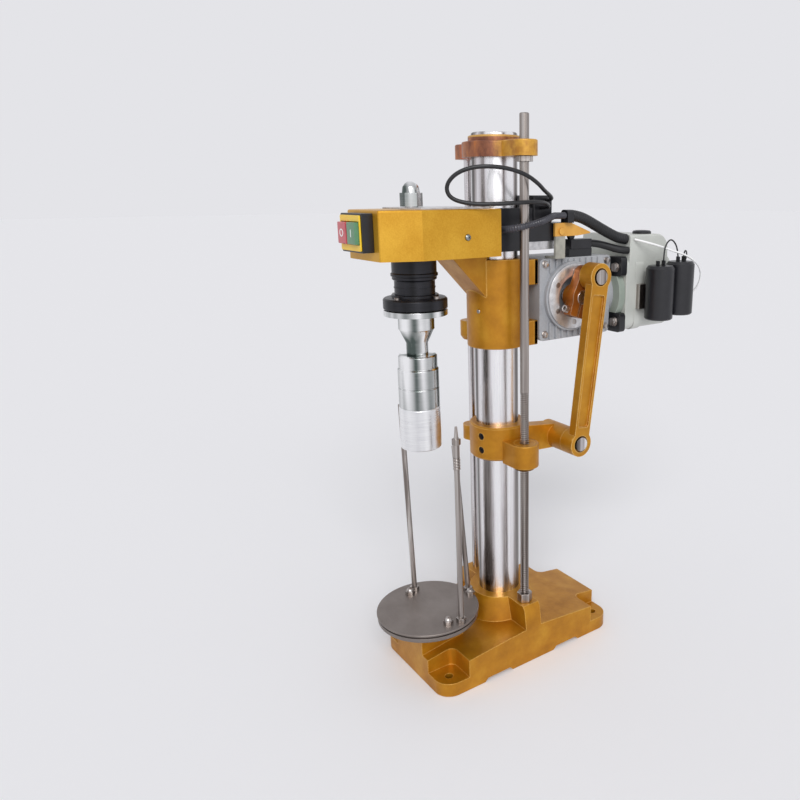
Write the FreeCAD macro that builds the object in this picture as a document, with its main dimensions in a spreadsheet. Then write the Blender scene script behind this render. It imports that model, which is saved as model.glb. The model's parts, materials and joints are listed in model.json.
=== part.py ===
import FreeCAD, Part
import math
import os
import re
import Sketcher
from FreeCAD import Placement, Rotation, Vector

# Bench cap sealing machine: cast base, round column, height collar and a crank driven sealing head.
# Millimetres. The origin is on the floor under the column's axis. +Z is up, -Y is the side of the
# sealing head, +Y the side of the lift motor, and +X the side of the crank and the connecting rod.

SIZES = {
    # Fits
    "seat_gap": 0.05,
    "run_gap": 0.06,
    "face_gap": 0.3,
    # Column and base casting
    "column_dia": 60,
    "column_wall": 6,
    "column_seat": 12,
    "column_top": 733,
    "base_width": 172,
    "base_length": 306,
    "base_corner": 24,
    "base_wall": 9,
    "base_rib": 8,
    "deck_top": 54,
    "deck_mid": 46,
    "deck_end": 40,
    "deck_flat": 18,
    "deck_bend": 111,
    "ear_inner_x": 44,
    "ear_inner_y": 112,
    "ear_height": 20,
    "ear_round": 11,
    "bolt_x": 66,
    "bolt_y": 133,
    "bolt_hole_dia": 11,
    "arch_near": 38,
    "arch_far": 86,
    "arch_rise": 5,
    "boss_top": 88,
    "boss_top_dia": 88,
    "boss_foot_dia": 108,
    "lug_half": 14,
    "lug_crown": 78,
    "front_pad_half": 29,
    "front_pad_top": 66,
    "front_pad_depth": 62,
    # Guide rod and lead screw, one each side of the column
    "rod_offset": 63.6,
    "guide_dia": 10,
    "guide_foot": 62,
    "screw_dia": 12,
    "screw_foot": 70,
    "screw_top": 752,
    "thread_top": 405,
    "thread_depth": 0.8,
    "screw_nut_flats": 19,
    "screw_nut_height": 13,
    # Ring at the column's top
    "ring_foot": 702.5,
    "ring_thick": 19,
    "ring_dia": 84,
    "ring_lug_dia": 33,
    "ring_boss_dia": 68,
    "ring_boss_height": 7.5,
    # Bottle platform and its posts
    "spindle_offset": 124.5,
    "platform_top": 92.4,
    "platform_dia": 144,
    "platform_thick": 3,
    "platform_step": 3,
    "lower_plate_thick": 6,
    "stem_dia": 44,
    "post_dia": 7.5,
    "post_height": 276,
    "post_tip_foot": 315,
    "post_nut_flats": 12,
    "post_nut_height": 6,
    "dome_nut_dia": 13,
    # Height collar
    "collar_foot": 300,
    "collar_height": 48,
    "collar_dia": 88,
    "collar_lug_dia": 33,
    "screw_lug_height": 26,
    "guide_lug_height": 22,
    "lift_nut_dia": 22,
    "set_screw_dia": 10,
    # Crank and connecting rod
    "output_y": 100,
    "output_z": 520,
    "output_shaft_dia": 18,
    "crank_radius": 31,
    "crank_rest": 19,
    "crank_inner_x": 50,
    "crank_thick": 15,
    "crank_hub_dia": 34,
    "crank_eye_dia": 27,
    "crank_split": 28,
    "crank_pin_dia": 14,
    "rod_gap": 1.5,
    "link_pin_y": 80,
    "link_pin_z": 318,
    "rod_eye_dia": 37,
    "rod_eye_length": 24,
    "rod_web_thick": 13,
    "rod_web_top": 30,
    "rod_web_foot": 27,
    "rod_rim": 4,
    "rod_recess": 3.5,
    "bearing_dia": 24,
    # Head casting
    "sleeve_foot": 457,
    "sleeve_top": 573.5,
    "sleeve_dia": 80,
    "guide_ear_foot": 467,
    "guide_ear_height": 28,
    "guide_ear_dia": 30,
    "floor_thick": 8,
    "gearbox_arm_half": 36,
    "gearbox_arm_height": 34,
    # Belt cover over the forward arm
    "cover_foot": 582,
    "cover_top": 640,
    "cover_half": 57,
    "cover_rear": 31,
    "cover_bend": 143,
    "cover_front": 190.5,
    "nose_half": 40.5,
    "cover_wall": 2,
    "top_plate_thick": 2,
    # Spindle
    "spindle_dia": 16,
    "quill_top_dia": 56,
    "quill_low_dia": 51,
    "quill_low": 537,
    "quill_mid": 554,
    "flange_dia": 81,
    "flange_low": 519,
    "spindle_bearing_dia": 32,
    "spindle_bearing_width": 9,
    "chuck_disc_thick": 7,
    "chuck_dia": 46,
    "chuck_body_length": 19,
    "chuck_cone_length": 17,
    "chuck_neck_length": 15,
    "chuck_shoulder": "=flange_low - 1 - chuck_disc_thick - chuck_body_length",
    "chuck_neck": "=chuck_shoulder - chuck_cone_length",
    "chuck_neck_dia": 28,
    "chuck_foot": "=chuck_neck - chuck_neck_length",
    "head_ring_dia": 50,
    "head_ring_length": 17,
    "head_body_length": 57,
    "head_ring_foot": "=chuck_foot - head_ring_length",
    "head_body_dia": 53,
    "head_body_foot": "=head_ring_foot - head_body_length",
    "cup_dia": 54,
    "cup_length": 57,
    "cup_foot": "=head_body_foot - cup_length",
    "cup_wall": 4,
    "cup_roof": 8,
    "press_dia": 20,
    "press_reach": 34,
    "press_foot": "=head_body_foot - press_reach",
    "press_travel": 8,
    "press_stem_dia": 9,
    "roller_dia": 8,
    "roller_reach": 18,
    "cap_nut_flats": 24,
    "cap_nut_top": 672,
    # Belt drive
    "spindle_pulley_dia": 92,
    "motor_pulley_dia": 54,
    "pulley_width": 14,
    "belt_level": 609,
    "belt_width": 8,
    "belt_thick": 4,
    "drive_axis_y": 60,
    "guard_half": 42,
    "guard_step_y": 30,
    "guard_low_top": 620,
    "guard_wall": 2,
    "guard_rear": 99,
    "guard_round": 30,
    "guard_floor": 597,
    "drive_plate_half": 40,
    "drive_plate_front": 16,
    "drive_plate_foot": 586,
    "spindle_motor_half": 27,
    "spindle_motor_depth": 33,
    "spindle_motor_top": 655.5,
    # Worm gearbox
    "gearbox_half": 39,
    "gearbox_front": 45,
    "gearbox_rear": 176,
    "gearbox_foot": 461,
    "gearbox_top": 573,
    "gearbox_boss_dia": 96,
    "gearbox_boss": 6,
    "cover_ring_dia": 90,
    "cover_ring_bore": 54,
    "cover_ring_thick": 4,
    # Lift motor
    "motor_axis_z": 515,
    "motor_half": 55,
    "motor_corner": 14,
    "motor_flange_front": 183,
    "motor_flange_rear": 195,
    "motor_flange_half": 55,
    "motor_lobe": 28,
    "motor_band_front": 213,
    "motor_band_rear": 230,
    "motor_cowl_rear": 292,
    "capacitor_dia": 41.5,
    "capacitor_height": 78,
    "capacitor_x": 83.5,
    "capacitor_foot": 479,
    "capacitor_y": 234,
    "capacitor_pitch": 43,
    "terminal_front": 200,
    "terminal_rear": 282,
    "terminal_top": 600,
    "terminal_round": 24,
    # Switch on the nose
    "switch_half": 28,
    "switch_foot": 592,
    "switch_top": 636.5,
    "switch_depth": 14.5,
    "switch_frame_thick": 2,
    "button_width": 22,
    "button_height": 25,
    "button_proud": 5,
    "button_travel": 3,
    # Corrugated hoses and free leads
    "hose_front_dia": 8.8,
    "hose_rear_dia": 15,
    "hose_branch_dia": 12.5,
    "cable_dia": 5,
    "lead_dia": 2.6,
    # Limit switch on the gearbox
    "bracket_x": 44,
    "bracket_top": 620,
    "bracket_foot": 602.5,
    "bracket_tip": 607,
    "clip_top": 637,
    "bracket_thick": 4,
    "clamp_front": 80,
    "clamp_rear": 91,
}

POST_FEET = [(59.6, -107), (-52, -117), (-2.4, -55)]
POST_LEANS = [(0, 0), (-18, 1), (0, -17)]
DOME_NUTS = [(53, -123.5), (-46.6, -127.5), (8, -58)]

HOSE_FRONT_ROUTE = [
    (42.4, -20, 614), (60, -19, 615), (74, -8, 618.5), (79.5, 9.5, 622.5), (77, 27, 626.5), (67.5, 42.5, 629.5),
    (57, 55, 630), (50.5, 66.5, 629.5), (49.4, 79.5, 629.5),
]
HOSE_REAR_ROUTE = [
    (47.3, 92, 629.5), (47.3, 105, 628), (47.1, 121, 622.5), (46.7, 138, 615), (46.2, 156, 607.2),
    (45.6, 173, 600.3), (45.1, 187, 595.8), (45, 198.7, 594.2),
]
HOSE_BRANCH_ROUTE = [
    (31, 139, 590.6), (32.5, 152, 589.6), (38, 166, 586), (45, 179, 581.5), (49.5, 189.5, 579), (50.5, 199, 578.4),
]
CABLE_ROUTE = [
    (27.3, 65, 649), (46, 64, 650), (62, 51, 653), (77, 30, 660), (87, 8, 669), (89, -16, 680), (81, -38, 687),
    (67, -60, 690), (54, -79, 690), (41.5, -94.5, 682), (36.5, -101.5, 666), (41.5, -95, 650), (55.5, -77, 645.5),
    (73, -49, 646.5), (85, -22, 651), (89, 4, 653), (81, 28, 650), (65, 46, 645), (46, 55.5, 640.5),
    (27.3, 56.5, 639.5),
]
LEAD_ROUTE = [
    (55.2, 207, 594), (66, 219, 592), (73, 237, 587), (77.5, 256, 580.5), (80.5, 275, 574.5), (83, 295, 567),
    (85, 313, 554), (85, 321, 537), (81, 321, 519), (70, 314, 506), (58, 304, 500), (50, 292.6, 498),
]

doc = FreeCAD.newDocument("cap_sealing_machine")
sheet = doc.addObject("Spreadsheet::Sheet", "dims")
for row, (alias, size) in enumerate(SIZES.items(), start=1):
    sheet.set("A%d" % row, alias)
    sheet.set("B%d" % row, str(size))
    sheet.setAlias("B%d" % row, alias)
doc.recompute()

TURNS = {
    "Z": Rotation(),
    "X": Rotation(Vector(0, 1, 0), 90),
    "Y": Rotation(Vector(1, 0, 0), -90),
}
PLANES = {
    "top": Rotation(),
    "side": Rotation(Vector(1, 1, 1), 120),
    "front": Rotation(Vector(1, 0, 0), 90),
}
nodes = {}


def value(text):
    """A size or a formula of sizes as a number."""
    return float(sheet.evalExpression(str(text)))


def link(text):
    """The same formula for another object: each alias with the sheet's name before it."""
    return re.sub(r"[a-z_]\w*", lambda word: "dims." + word.group() if word.group() in SIZES else word.group(), text)


def bind(thing, prop, text):
    """Ties one property to a formula of the sheet's cells."""
    thing.setExpression(prop, link(str(text)))


def place(thing, x, y, z, turn=None):
    """Puts an object at a point given by formulas."""
    thing.Placement = Placement(Vector(value(x), value(y), value(z)), turn or Rotation())
    for axis, text in zip("xyz", (x, y, z)):
        if isinstance(text, str):
            bind(thing, "Placement.Base." + axis, text)
    return thing


def cylinder(name, radius, length, x=0, y=0, z=0, along="Z"):
    """A round bar from a point, in the positive direction of an axis."""
    bar = doc.addObject("Part::Cylinder", name)
    bind(bar, "Radius", radius)
    bind(bar, "Height", length)
    return place(bar, x, y, z, TURNS[along])


def cone(name, radius, end_radius, length, x=0, y=0, z=0, along="Z"):
    """A round bar that tapers from its start to its end."""
    bar = doc.addObject("Part::Cone", name)
    bind(bar, "Radius1", radius)
    bind(bar, "Radius2", end_radius)
    bind(bar, "Height", length)
    return place(bar, x, y, z, TURNS[along])


def box(name, x_span, y_span, z_span):
    """A block between two formulas on each axis."""
    block = doc.addObject("Part::Box", name)
    for prop, (low, high) in zip(("Length", "Width", "Height"), (x_span, y_span, z_span)):
        bind(block, prop, "(%s) - (%s)" % (high, low))
    return place(block, x_span[0], y_span[0], z_span[0])


def hexagon(name, flats, height, x=0, y=0, z=0, along="Z"):
    """A hexagonal prism, sized across its flats."""
    prism = doc.addObject("Part::Prism", name)
    prism.Polygon = 6
    bind(prism, "Circumradius", "(%s) / sqrt(3)" % flats)
    bind(prism, "Height", height)
    return place(prism, x, y, z, TURNS[along])


def ball(name, radius, x=0, y=0, z=0):
    """A whole ball."""
    sphere = doc.addObject("Part::Sphere", name)
    bind(sphere, "Radius", radius)
    return place(sphere, x, y, z)


def sketch_outline(body, role, points):
    """A closed outline on one of the body's own planes, each corner held by two driven distances."""
    sketch = body.newObject("Sketcher::SketchObject", body.Name + "_outline")
    plane = [feature for feature in body.Origin.OriginFeatures if feature.Role == role][0]
    sketch.AttachmentSupport = [(plane, "")]
    sketch.MapMode = "FlatFace"
    spots = [Vector(value(x), value(y), 0) for x, y in points]
    count = len(spots)
    for index in range(count):
        sketch.addGeometry(Part.LineSegment(spots[index], spots[(index + 1) % count]), False)
    for index in range(count):
        sketch.addConstraint(Sketcher.Constraint("Coincident", index, 2, (index + 1) % count, 1))
    for index, pair in enumerate(points):
        for kind, text, spot in zip(("DistanceX", "DistanceY"), pair, (spots[index].x, spots[index].y)):
            number = sketch.addConstraint(Sketcher.Constraint(kind, -1, 1, index, 1, spot))
            bind(sketch, "Constraints[%d]" % number, text)
    return sketch


def turned(name, profile, x=0, y=0, z=0, along="Z"):
    """A lathe part: the (radius, height) profile makes a full turn about the axis."""
    body = doc.addObject("PartDesign::Body", name)
    sketch = sketch_outline(body, "XZ_Plane", profile)
    spin = body.newObject("PartDesign::Revolution", name + "_turn")
    spin.Profile = sketch
    spin.ReferenceAxis = (sketch, ["V_Axis"])
    spin.Angle = 360
    return place(body, x, y, z, TURNS[along])


def plate(name, plane, outline, low, high):
    """A plate: an outline seen from the top, side or front, padded from low to high.

    The top plane is X, Y with the thickness along Z; the side plane is Y, Z with it along X; the
    front plane is X, Z with it along -Y.
    """
    body = doc.addObject("PartDesign::Body", name)
    sketch = sketch_outline(body, "XY_Plane", outline)
    pad = body.newObject("PartDesign::Pad", name + "_pad")
    pad.Profile = sketch
    bind(pad, "Length", "(%s) - (%s)" % (high, low))
    spots = {"top": (0, 0, low), "side": (low, 0, 0), "front": (0, "-(%s)" % low, 0)}
    return place(body, *spots[plane], PLANES[plane])


def both_sides(points):
    """An outline that is mirrored across its vertical axis."""
    return points + [("-(%s)" % x, y) for x, y in reversed(points)]


def join(name, *pieces):
    """One solid from several that touch."""
    fused = doc.addObject("Part::MultiFuse", name)
    fused.Shapes = list(pieces)
    return fused


def cut(name, base, *tools):
    """A solid less one or more others."""
    tool = tools[0] if len(tools) == 1 else join(name + "_tools", *tools)
    result = doc.addObject("Part::Cut", name)
    result.Base = base
    result.Tool = tool
    return result


def common(name, *pieces):
    """What two solids share."""
    result = doc.addObject("Part::MultiCommon", name)
    result.Shapes = list(pieces)
    return result


def group(name, *pieces):
    """Separate solids that share a node."""
    result = doc.addObject("Part::Compound", name)
    result.Links = list(pieces)
    return result


def eased(name, base, radius, wanted):
    """Rounds the edges that a test picks."""
    doc.recompute()
    result = doc.addObject("Part::Fillet", name)
    result.Base = base
    size = value(radius)
    picked = [number for number, edge in enumerate(base.Shape.Edges, start=1) if wanted(edge)]
    result.Edges = [(number, size, size) for number in picked]
    return result


def along_axis(edge, axis):
    """True for a straight edge that runs along an axis."""
    if not isinstance(edge.Curve, Part.Line):
        return False
    return abs(abs(edge.tangentAt(edge.FirstParameter).dot(axis)) - 1) < 1e-6


def upright(edge):
    """True for a straight edge along Z."""
    return along_axis(edge, Vector(0, 0, 1))


def lengthways(edge):
    """True for a straight edge along X."""
    return along_axis(edge, Vector(1, 0, 0))


def depthways(edge):
    """True for a straight edge along Y."""
    return along_axis(edge, Vector(0, 1, 0))


def depthways_above(height):
    """A test for edges along Y above a height."""
    return lambda edge: depthways(edge) and edge.CenterOfMass.z > height


def level_at(height):
    """A test for edges that lie wholly at one height."""
    level = value(height)
    return lambda edge: abs(edge.BoundBox.ZMin - level) < 0.01 and abs(edge.BoundBox.ZMax - level) < 0.01


def node(label, thing):
    """Names a finished piece, so that it is checked and written."""
    thing.Label = label
    nodes[label] = thing
    return thing


def tube_shape(route, diameter):
    """A round tube along straight runs joined by tangent arcs, and the arcs' radii."""
    points = [Vector(*point) for point in route]
    edges = []
    radii = []
    start = points[0]
    for before, corner, after in zip(points, points[1:], points[2:]):
        into = (corner - before).normalize()
        out = (after - corner).normalize()
        half_turn = into.getAngle(out) / 2
        reach = 0.45 * min((corner - before).Length, (after - corner).Length)
        radius = reach / math.tan(half_turn)
        first = corner - into * reach
        last = corner + out * reach
        centre = corner + (out - into).normalize() * (radius / math.cos(half_turn))
        middle = centre + (corner - centre).normalize() * radius
        edges.append(Part.LineSegment(start, first).toShape())
        edges.append(Part.Arc(first, middle, last).toShape())
        start = last
        radii.append(round(radius, 1))
    edges.append(Part.LineSegment(start, points[-1]).toShape())
    spine = Part.Wire(edges)
    rim = Part.Circle(points[0], points[1] - points[0], diameter / 2).toShape()
    shape = spine.makePipeShell([Part.Wire([rim])], True, False)
    return shape, spine.Length, radii


def tube(label, route, diameter):
    """The plain solid of a free cord or hose."""
    size = value(diameter)
    shape, length, radii = tube_shape(route, size)
    expected = math.pi * size * size / 4 * length
    print(label, "length", round(length, 1), "radii", radii, "volume ratio", round(shape.Volume / expected, 4))
    solid = doc.addObject("Part::Feature", label + "_tube")
    solid.Shape = shape
    return node(label, solid)


def make_base():
    """The base casting: sloped deck, corner ears, column boss and the two rod lugs."""
    half_long = "base_length / 2"
    half_wide = "base_width / 2"
    deck = plate(
        "base_deck", "side",
        both_sides([(half_long, 0), (half_long, "deck_end"), ("deck_bend", "deck_mid"), ("deck_flat", "deck_top")]),
        "-" + half_wide, half_wide,
    )
    blank = box(
        "base_blank", ("-" + half_wide, half_wide), ("-" + half_long, half_long), (0, "boss_top")
    )
    footprint = eased("base_footprint", blank, "base_corner", upright)
    boss = cone("column_boss", "boss_foot_dia / 2", "boss_top_dia / 2", "boss_top - deck_mid", z="deck_mid")
    lugs = plate(
        "rod_lugs", "front",
        both_sides([
            (half_wide, "deck_mid - 6"), (half_wide, "deck_top"), ("lug_crown + 4", "boss_top - 5"),
            ("lug_crown", "boss_top"),
        ]),
        "-lug_half", "lug_half",
    )
    pad = plate(
        "front_pad", "side",
        [
            ("-" + half_long, "ear_height"), ("-" + half_long, "front_pad_top - 4"),
            ("-" + half_long + " + 4", "front_pad_top"), ("front_pad_depth - " + half_long, "front_pad_top"),
            ("front_pad_depth + 16 - " + half_long, "ear_height"),
        ],
        "-front_pad_half", "front_pad_half",
    )
    body = join("base_raised", deck, boss, lugs, pad)
    body = common("base_outline", body, footprint)
    tools = []
    for side_x in ("", "-"):
        for side_y in ("", "-"):
            x_span = ("ear_inner_x", half_wide + " + 30")
            y_span = ("ear_inner_y", half_long + " + 30")
            if side_x:
                x_span = ("-(%s)" % x_span[1], "-(%s)" % x_span[0])
            if side_y:
                y_span = ("-(%s)" % y_span[1], "-(%s)" % y_span[0])
            pocket = box("ear_pocket", x_span, y_span, ("ear_height", "boss_top"))
            tools.append(eased("ear_recess", pocket, "ear_round", upright))
            tools.append(cylinder(
                "bolt_hole", "bolt_hole_dia / 2", "ear_height + 2", side_x + "bolt_x", side_y + "bolt_y", -1
            ))
    for side in ("", "-"):
        arch = [("arch_near", -1), ("arch_near", 0), ("arch_near + arch_rise", "arch_rise")]
        arch += [("arch_far - arch_rise", "arch_rise"), ("arch_far", 0), ("arch_far", -1)]
        if side:
            arch = [("-(%s)" % y, z) for y, z in arch]
        tools.append(plate("side_arch", "side", arch, "-base_width", "base_width"))
        for side_x in ("", "-"):
            x_span = ["base_rib / 2", half_wide + " - base_wall"]
            y_span = ["boss_foot_dia / 2 + base_wall / 2", "ear_inner_y - base_wall"]
            if side_x:
                x_span = ["-(%s)" % x_span[1], "-base_rib / 2"]
            if side:
                y_span = ["-(%s)" % y_span[1], "-(%s)" % y_span[0]]
            cell = box("base_cell", x_span, y_span, (-1, "deck_mid - base_wall"))
            tools.append(eased("base_hollow", cell, "base_wall", upright))
    tools.append(cylinder("column_bore", "column_dia / 2 + seat_gap", "boss_top", z="column_seat"))
    tools.append(cylinder(
        "screw_socket", "screw_dia / 2 + run_gap", "boss_top", "rod_offset", 0, "screw_foot - face_gap"
    ))
    tools.append(cylinder("guide_socket", "guide_dia / 2 + seat_gap", "boss_top", "-rod_offset", 0, "guide_foot"))
    node("base_casting", cut("base_machined", body, *tools))


def make_column():
    """The ground steel column, bored from below, with a chamfered top."""
    outer = "column_dia / 2"
    inner = "column_dia / 2 - column_wall"
    node("column", turned("column_bar", [
        (inner, "column_seat"), (outer, "column_seat"), (outer, "column_top - 1.5"),
        (outer + " - 1.5", "column_top"), ("column_dia / 4", "column_top"), ("column_dia / 4", "column_top - 3"),
        (0, "column_top - 3"), (0, "column_top - 15"), (inner, "column_top - 15"),
    ]))


def make_top_ring():
    """The ring that ties the column's top to the guide rod and the lead screw."""
    top = "ring_foot + ring_thick"
    disc = cylinder("ring_disc", "ring_dia / 2", "ring_thick", z="ring_foot")
    bridge = box(
        "ring_bridge", ("-rod_offset", "rod_offset"), ("-ring_lug_dia / 2", "ring_lug_dia / 2"), ("ring_foot", top)
    )
    right = cylinder("ring_lug_right", "ring_lug_dia / 2", "ring_thick", "rod_offset", 0, "ring_foot")
    left = cylinder("ring_lug_left", "ring_lug_dia / 2", "ring_thick", "-rod_offset", 0, "ring_foot")
    body = eased("ring_eased", join("ring_flat", disc, bridge, right, left), "2", level_at(top))
    boss = cylinder("ring_boss", "ring_boss_dia / 2", "ring_thick + ring_boss_height", z="ring_foot")
    body = join("ring_body", body, eased("ring_boss_eased", boss, "1.5", level_at(top + " + ring_boss_height")))
    node("top_ring", cut(
        "ring_bored", body,
        cylinder("ring_bore", "column_dia / 2 + seat_gap", "ring_thick * 3", z="ring_foot - 5"),
        cylinder("ring_screw_bore", "screw_dia / 2 + run_gap", "ring_thick * 3", "rod_offset", 0, "ring_foot - 5"),
        cylinder("ring_guide_bore", "guide_dia / 2 + seat_gap", "ring_thick - 4", "-rod_offset", 0, "ring_foot - 1"),
    ))


def make_rods():
    """The guide rod, the lead screw and the screw's two collars."""
    node("guide_rod", cylinder(
        "guide_bar", "guide_dia / 2", "ring_foot + ring_thick - 7 - guide_foot", "-rod_offset", 0, "guide_foot"
    ))
    radius = "screw_dia / 2"
    core = "screw_dia / 2 - thread_depth"
    node("lead_screw", turned("screw_bar", [
        (0, "screw_foot"), (radius, "screw_foot"), (radius, "thread_top"), (core, "thread_top + 1"),
        (core, "thread_top + 3"), (radius, "thread_top + 4"), (radius, "screw_top - 1"),
        (radius + " - 1", "screw_top"), (0, "screw_top"),
    ], "rod_offset"))
    collars = []
    for name, level in (
        ("foot_collar", "boss_top + face_gap"),
        ("top_collar", "ring_foot - face_gap - screw_nut_height / 2"),
    ):
        height = "screw_nut_height" if name == "foot_collar" else "screw_nut_height / 2"
        blank = hexagon(name + "_hex", "screw_nut_flats", height, "rod_offset", 0, level)
        bore = cylinder(name + "_bore", "screw_dia / 2 + seat_gap", "screw_nut_height * 3", "rod_offset", 0,
                        level + " - screw_nut_height")
        collars.append(cut(name, blank, bore))
    node("screw_collars", group("screw_collar_pair", *collars))


def make_platform():
    """The round bottle platform on its stem, with three loose posts and their nuts."""
    centre = ("-spindle_offset",)
    lower_top = "platform_top - platform_thick - platform_step"
    lower_foot = lower_top + " - lower_plate_thick"
    base = turned("platform_base", [
        (0, "front_pad_top"), ("stem_dia / 2", "front_pad_top"), ("stem_dia / 2", lower_foot),
        ("platform_dia / 2 - 2", lower_foot), ("platform_dia / 2 - 1", lower_foot + " + 1"),
        ("platform_dia / 2 - 1", lower_top), (0, lower_top),
    ], 0, *centre)
    plate_disc = turned("platform_plate", [
        (0, lower_top), ("platform_dia / 2 - 4", lower_top), ("platform_dia / 2 - 4", "platform_top - platform_thick"),
        ("platform_dia / 2", "platform_top - platform_thick"), ("platform_dia / 2", "platform_top - 0.6"),
        ("platform_dia / 2 - 0.6", "platform_top"), (0, "platform_top"),
    ], 0, *centre)
    node("platform_discs", group("platform_pair", base, plate_disc))
    posts = []
    nuts = []
    for number, (foot, lean) in enumerate(zip(POST_FEET, POST_LEANS), start=1):
        rise = value("post_tip_foot - platform_top - post_nut_height" if number == 1 else "post_height")
        lift = value("post_dia / 2") * math.hypot(*lean) / rise
        base = Vector(foot[0], foot[1], value("platform_top + post_nut_height") + lift)
        way = Vector(lean[0], lean[1], rise)
        bar = cylinder("post_bar_%d" % number, "post_dia / 2", way.Length)
        bar.Placement = Placement(base, Rotation(Vector(0, 0, 1), way))
        posts.append(bar)
        nuts.append(hexagon("post_nut_%d" % number, "post_nut_flats", "post_nut_height", *foot, "platform_top"))
    for number, spot in enumerate(DOME_NUTS, start=1):
        skirt = hexagon("dome_hex_%d" % number, "dome_nut_dia - 1", "dome_nut_dia / 3", *spot, "platform_top")
        dome = ball("dome_ball_%d" % number, "dome_nut_dia / 2 - 1", *spot, "platform_top + dome_nut_dia / 3")
        clip = box(
            "dome_clip_%d" % number, (spot[0] - 10, spot[0] + 10), (spot[1] - 10, spot[1] + 10),
            ("platform_top", "platform_top + 20"),
        )
        nuts.append(join("dome_nut_%d" % number, skirt, common("dome_cap_%d" % number, dome, clip)))
    node("platform_posts", group("post_set", *posts))
    node("platform_nuts", group("nut_set", *nuts))


def make_post_tip():
    """The spring, sleeve, nut and pin on top of the front right post."""
    x, y = POST_FEET[0]
    level = value("post_tip_foot") + 0.05
    coils = [(0, 0), (4.6, 0)]
    for step in range(4):
        coils += [(4.6, step * 4 + 2), (3.6, step * 4 + 3), (4.6, step * 4 + 4)]
    coils += [(0, 16)]
    spring = turned("post_spring", coils, x, y, level)
    sleeve = cylinder("post_sleeve", 4, 18, x, y, level + 16.05)
    nut = hexagon("post_tip_nut", 10, 8, x, y, level + 34)
    pin = cone("post_tip_pin", 3, 1.6, 16, x, y, level + 42)
    node("post_tip", group("post_tip_pair", spring, join("post_tip_stack", sleeve, nut, pin)))


def make_collar():
    """The height collar: clamped on the column, carried by the screw, with the arm for the rod's foot."""
    top = "collar_foot + collar_height"
    ring = turned("collar_ring", [
        (0, "collar_foot"), ("collar_dia / 2 - 2", "collar_foot"), ("collar_dia / 2", "collar_foot + 2"),
        ("collar_dia / 2", top + " - 2"), ("collar_dia / 2 - 2", top), (0, top),
    ])
    screw_lug = cylinder("collar_screw_lug", "collar_lug_dia / 2", "screw_lug_height", "rod_offset", 0, "collar_foot - 3")
    screw_web = box(
        "collar_screw_web", (0, "rod_offset"), ("-collar_lug_dia / 2 + 2", "collar_lug_dia / 2 - 2"),
        ("collar_foot - 3", "collar_foot - 3 + screw_lug_height"),
    )
    guide_lug = cylinder(
        "collar_guide_lug", "collar_lug_dia / 2 - 2", "guide_lug_height", "-rod_offset", 0, top + " - guide_lug_height"
    )
    guide_web = plate(
        "collar_guide_web", "front",
        [
            ("-rod_offset", top + " - 1"), ("-rod_offset", top + " - guide_lug_height"),
            ("-rod_offset + 14", top + " - guide_lug_height"), ("-column_dia / 2 - 8", "collar_foot + 8"),
            ("-column_dia / 2 + 4", "collar_foot + 8"), ("-column_dia / 2 + 4", top + " - 1"),
        ],
        "-collar_lug_dia / 2 + 4", "collar_lug_dia / 2 - 4",
    )
    arm_end = "crank_inner_x + crank_thick + rod_gap - face_gap"
    boss = cylinder("link_boss", "rod_eye_dia / 2", "%s - 14" % arm_end, 14, "link_pin_y", "link_pin_z", "X")
    arm = plate(
        "link_arm", "side",
        [
            ("column_dia / 2 - 6", "collar_foot + 4"), ("link_pin_y", "link_pin_z - rod_eye_dia / 2 + 1"),
            ("link_pin_y", "link_pin_z + rod_eye_dia / 2 - 1"), ("column_dia / 2 - 6", top + " - 5"),
        ],
        18, 38,
    )
    body = join("collar_body", ring, screw_lug, screw_web, guide_lug, guide_web, boss, arm)
    angle = math.radians(-68)
    tools = [
        cylinder("collar_bore", "column_dia / 2 + run_gap", "collar_height + 20", z="collar_foot - 10"),
        cylinder("collar_guide_bore", "guide_dia / 2 + run_gap", "collar_height + 20", "-rod_offset", 0, "collar_foot - 10"),
        cylinder("collar_nut_bore", "lift_nut_dia / 2 + seat_gap", "collar_height + 20", "rod_offset", 0, "collar_foot - 10"),
    ]
    screws = []
    for number, level in enumerate(("collar_foot + 14", "collar_foot + 34"), start=1):
        way = Vector(math.cos(angle), math.sin(angle), 0)
        hole = cylinder("set_hole_%d" % number, "set_screw_dia / 2", 30)
        hole.Placement = Placement(way * value("column_dia / 2 - 5") + Vector(0, 0, value(level)), Rotation(Vector(0, 0, 1), way))
        tools.append(hole)
        shank = cylinder("set_shank_%d" % number, "set_screw_dia / 2 - seat_gap", "collar_dia / 2 - column_dia / 2 - 2")
        shank.Placement = Placement(way * value("column_dia / 2 + run_gap") + Vector(0, 0, value(level)), Rotation(Vector(0, 0, 1), way))
        socket = hexagon("set_socket_%d" % number, "set_screw_dia / 2", 10)
        socket.Placement = Placement(way * value("collar_dia / 2 - 6") + Vector(0, 0, value(level)), Rotation(Vector(0, 0, 1), way))
        screws.append(cut("set_screw_%d" % number, shank, socket))
    node("height_collar", cut("collar_bored", body, *tools))
    node("collar_set_screws", group("set_screw_pair", *screws))
    nut = turned("lift_nut_turned", [
        ("screw_dia / 2 + run_gap", "collar_foot - 7"), ("lift_nut_dia / 2 + 3", "collar_foot - 7"),
        ("lift_nut_dia / 2 + 3", "collar_foot - 3"), ("lift_nut_dia / 2", "collar_foot - 3"),
        ("lift_nut_dia / 2", "collar_foot - 3 + screw_lug_height"),
        ("screw_dia / 2 + run_gap", "collar_foot - 3 + screw_lug_height"),
    ], "rod_offset")
    node("lift_nut", nut)


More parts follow.
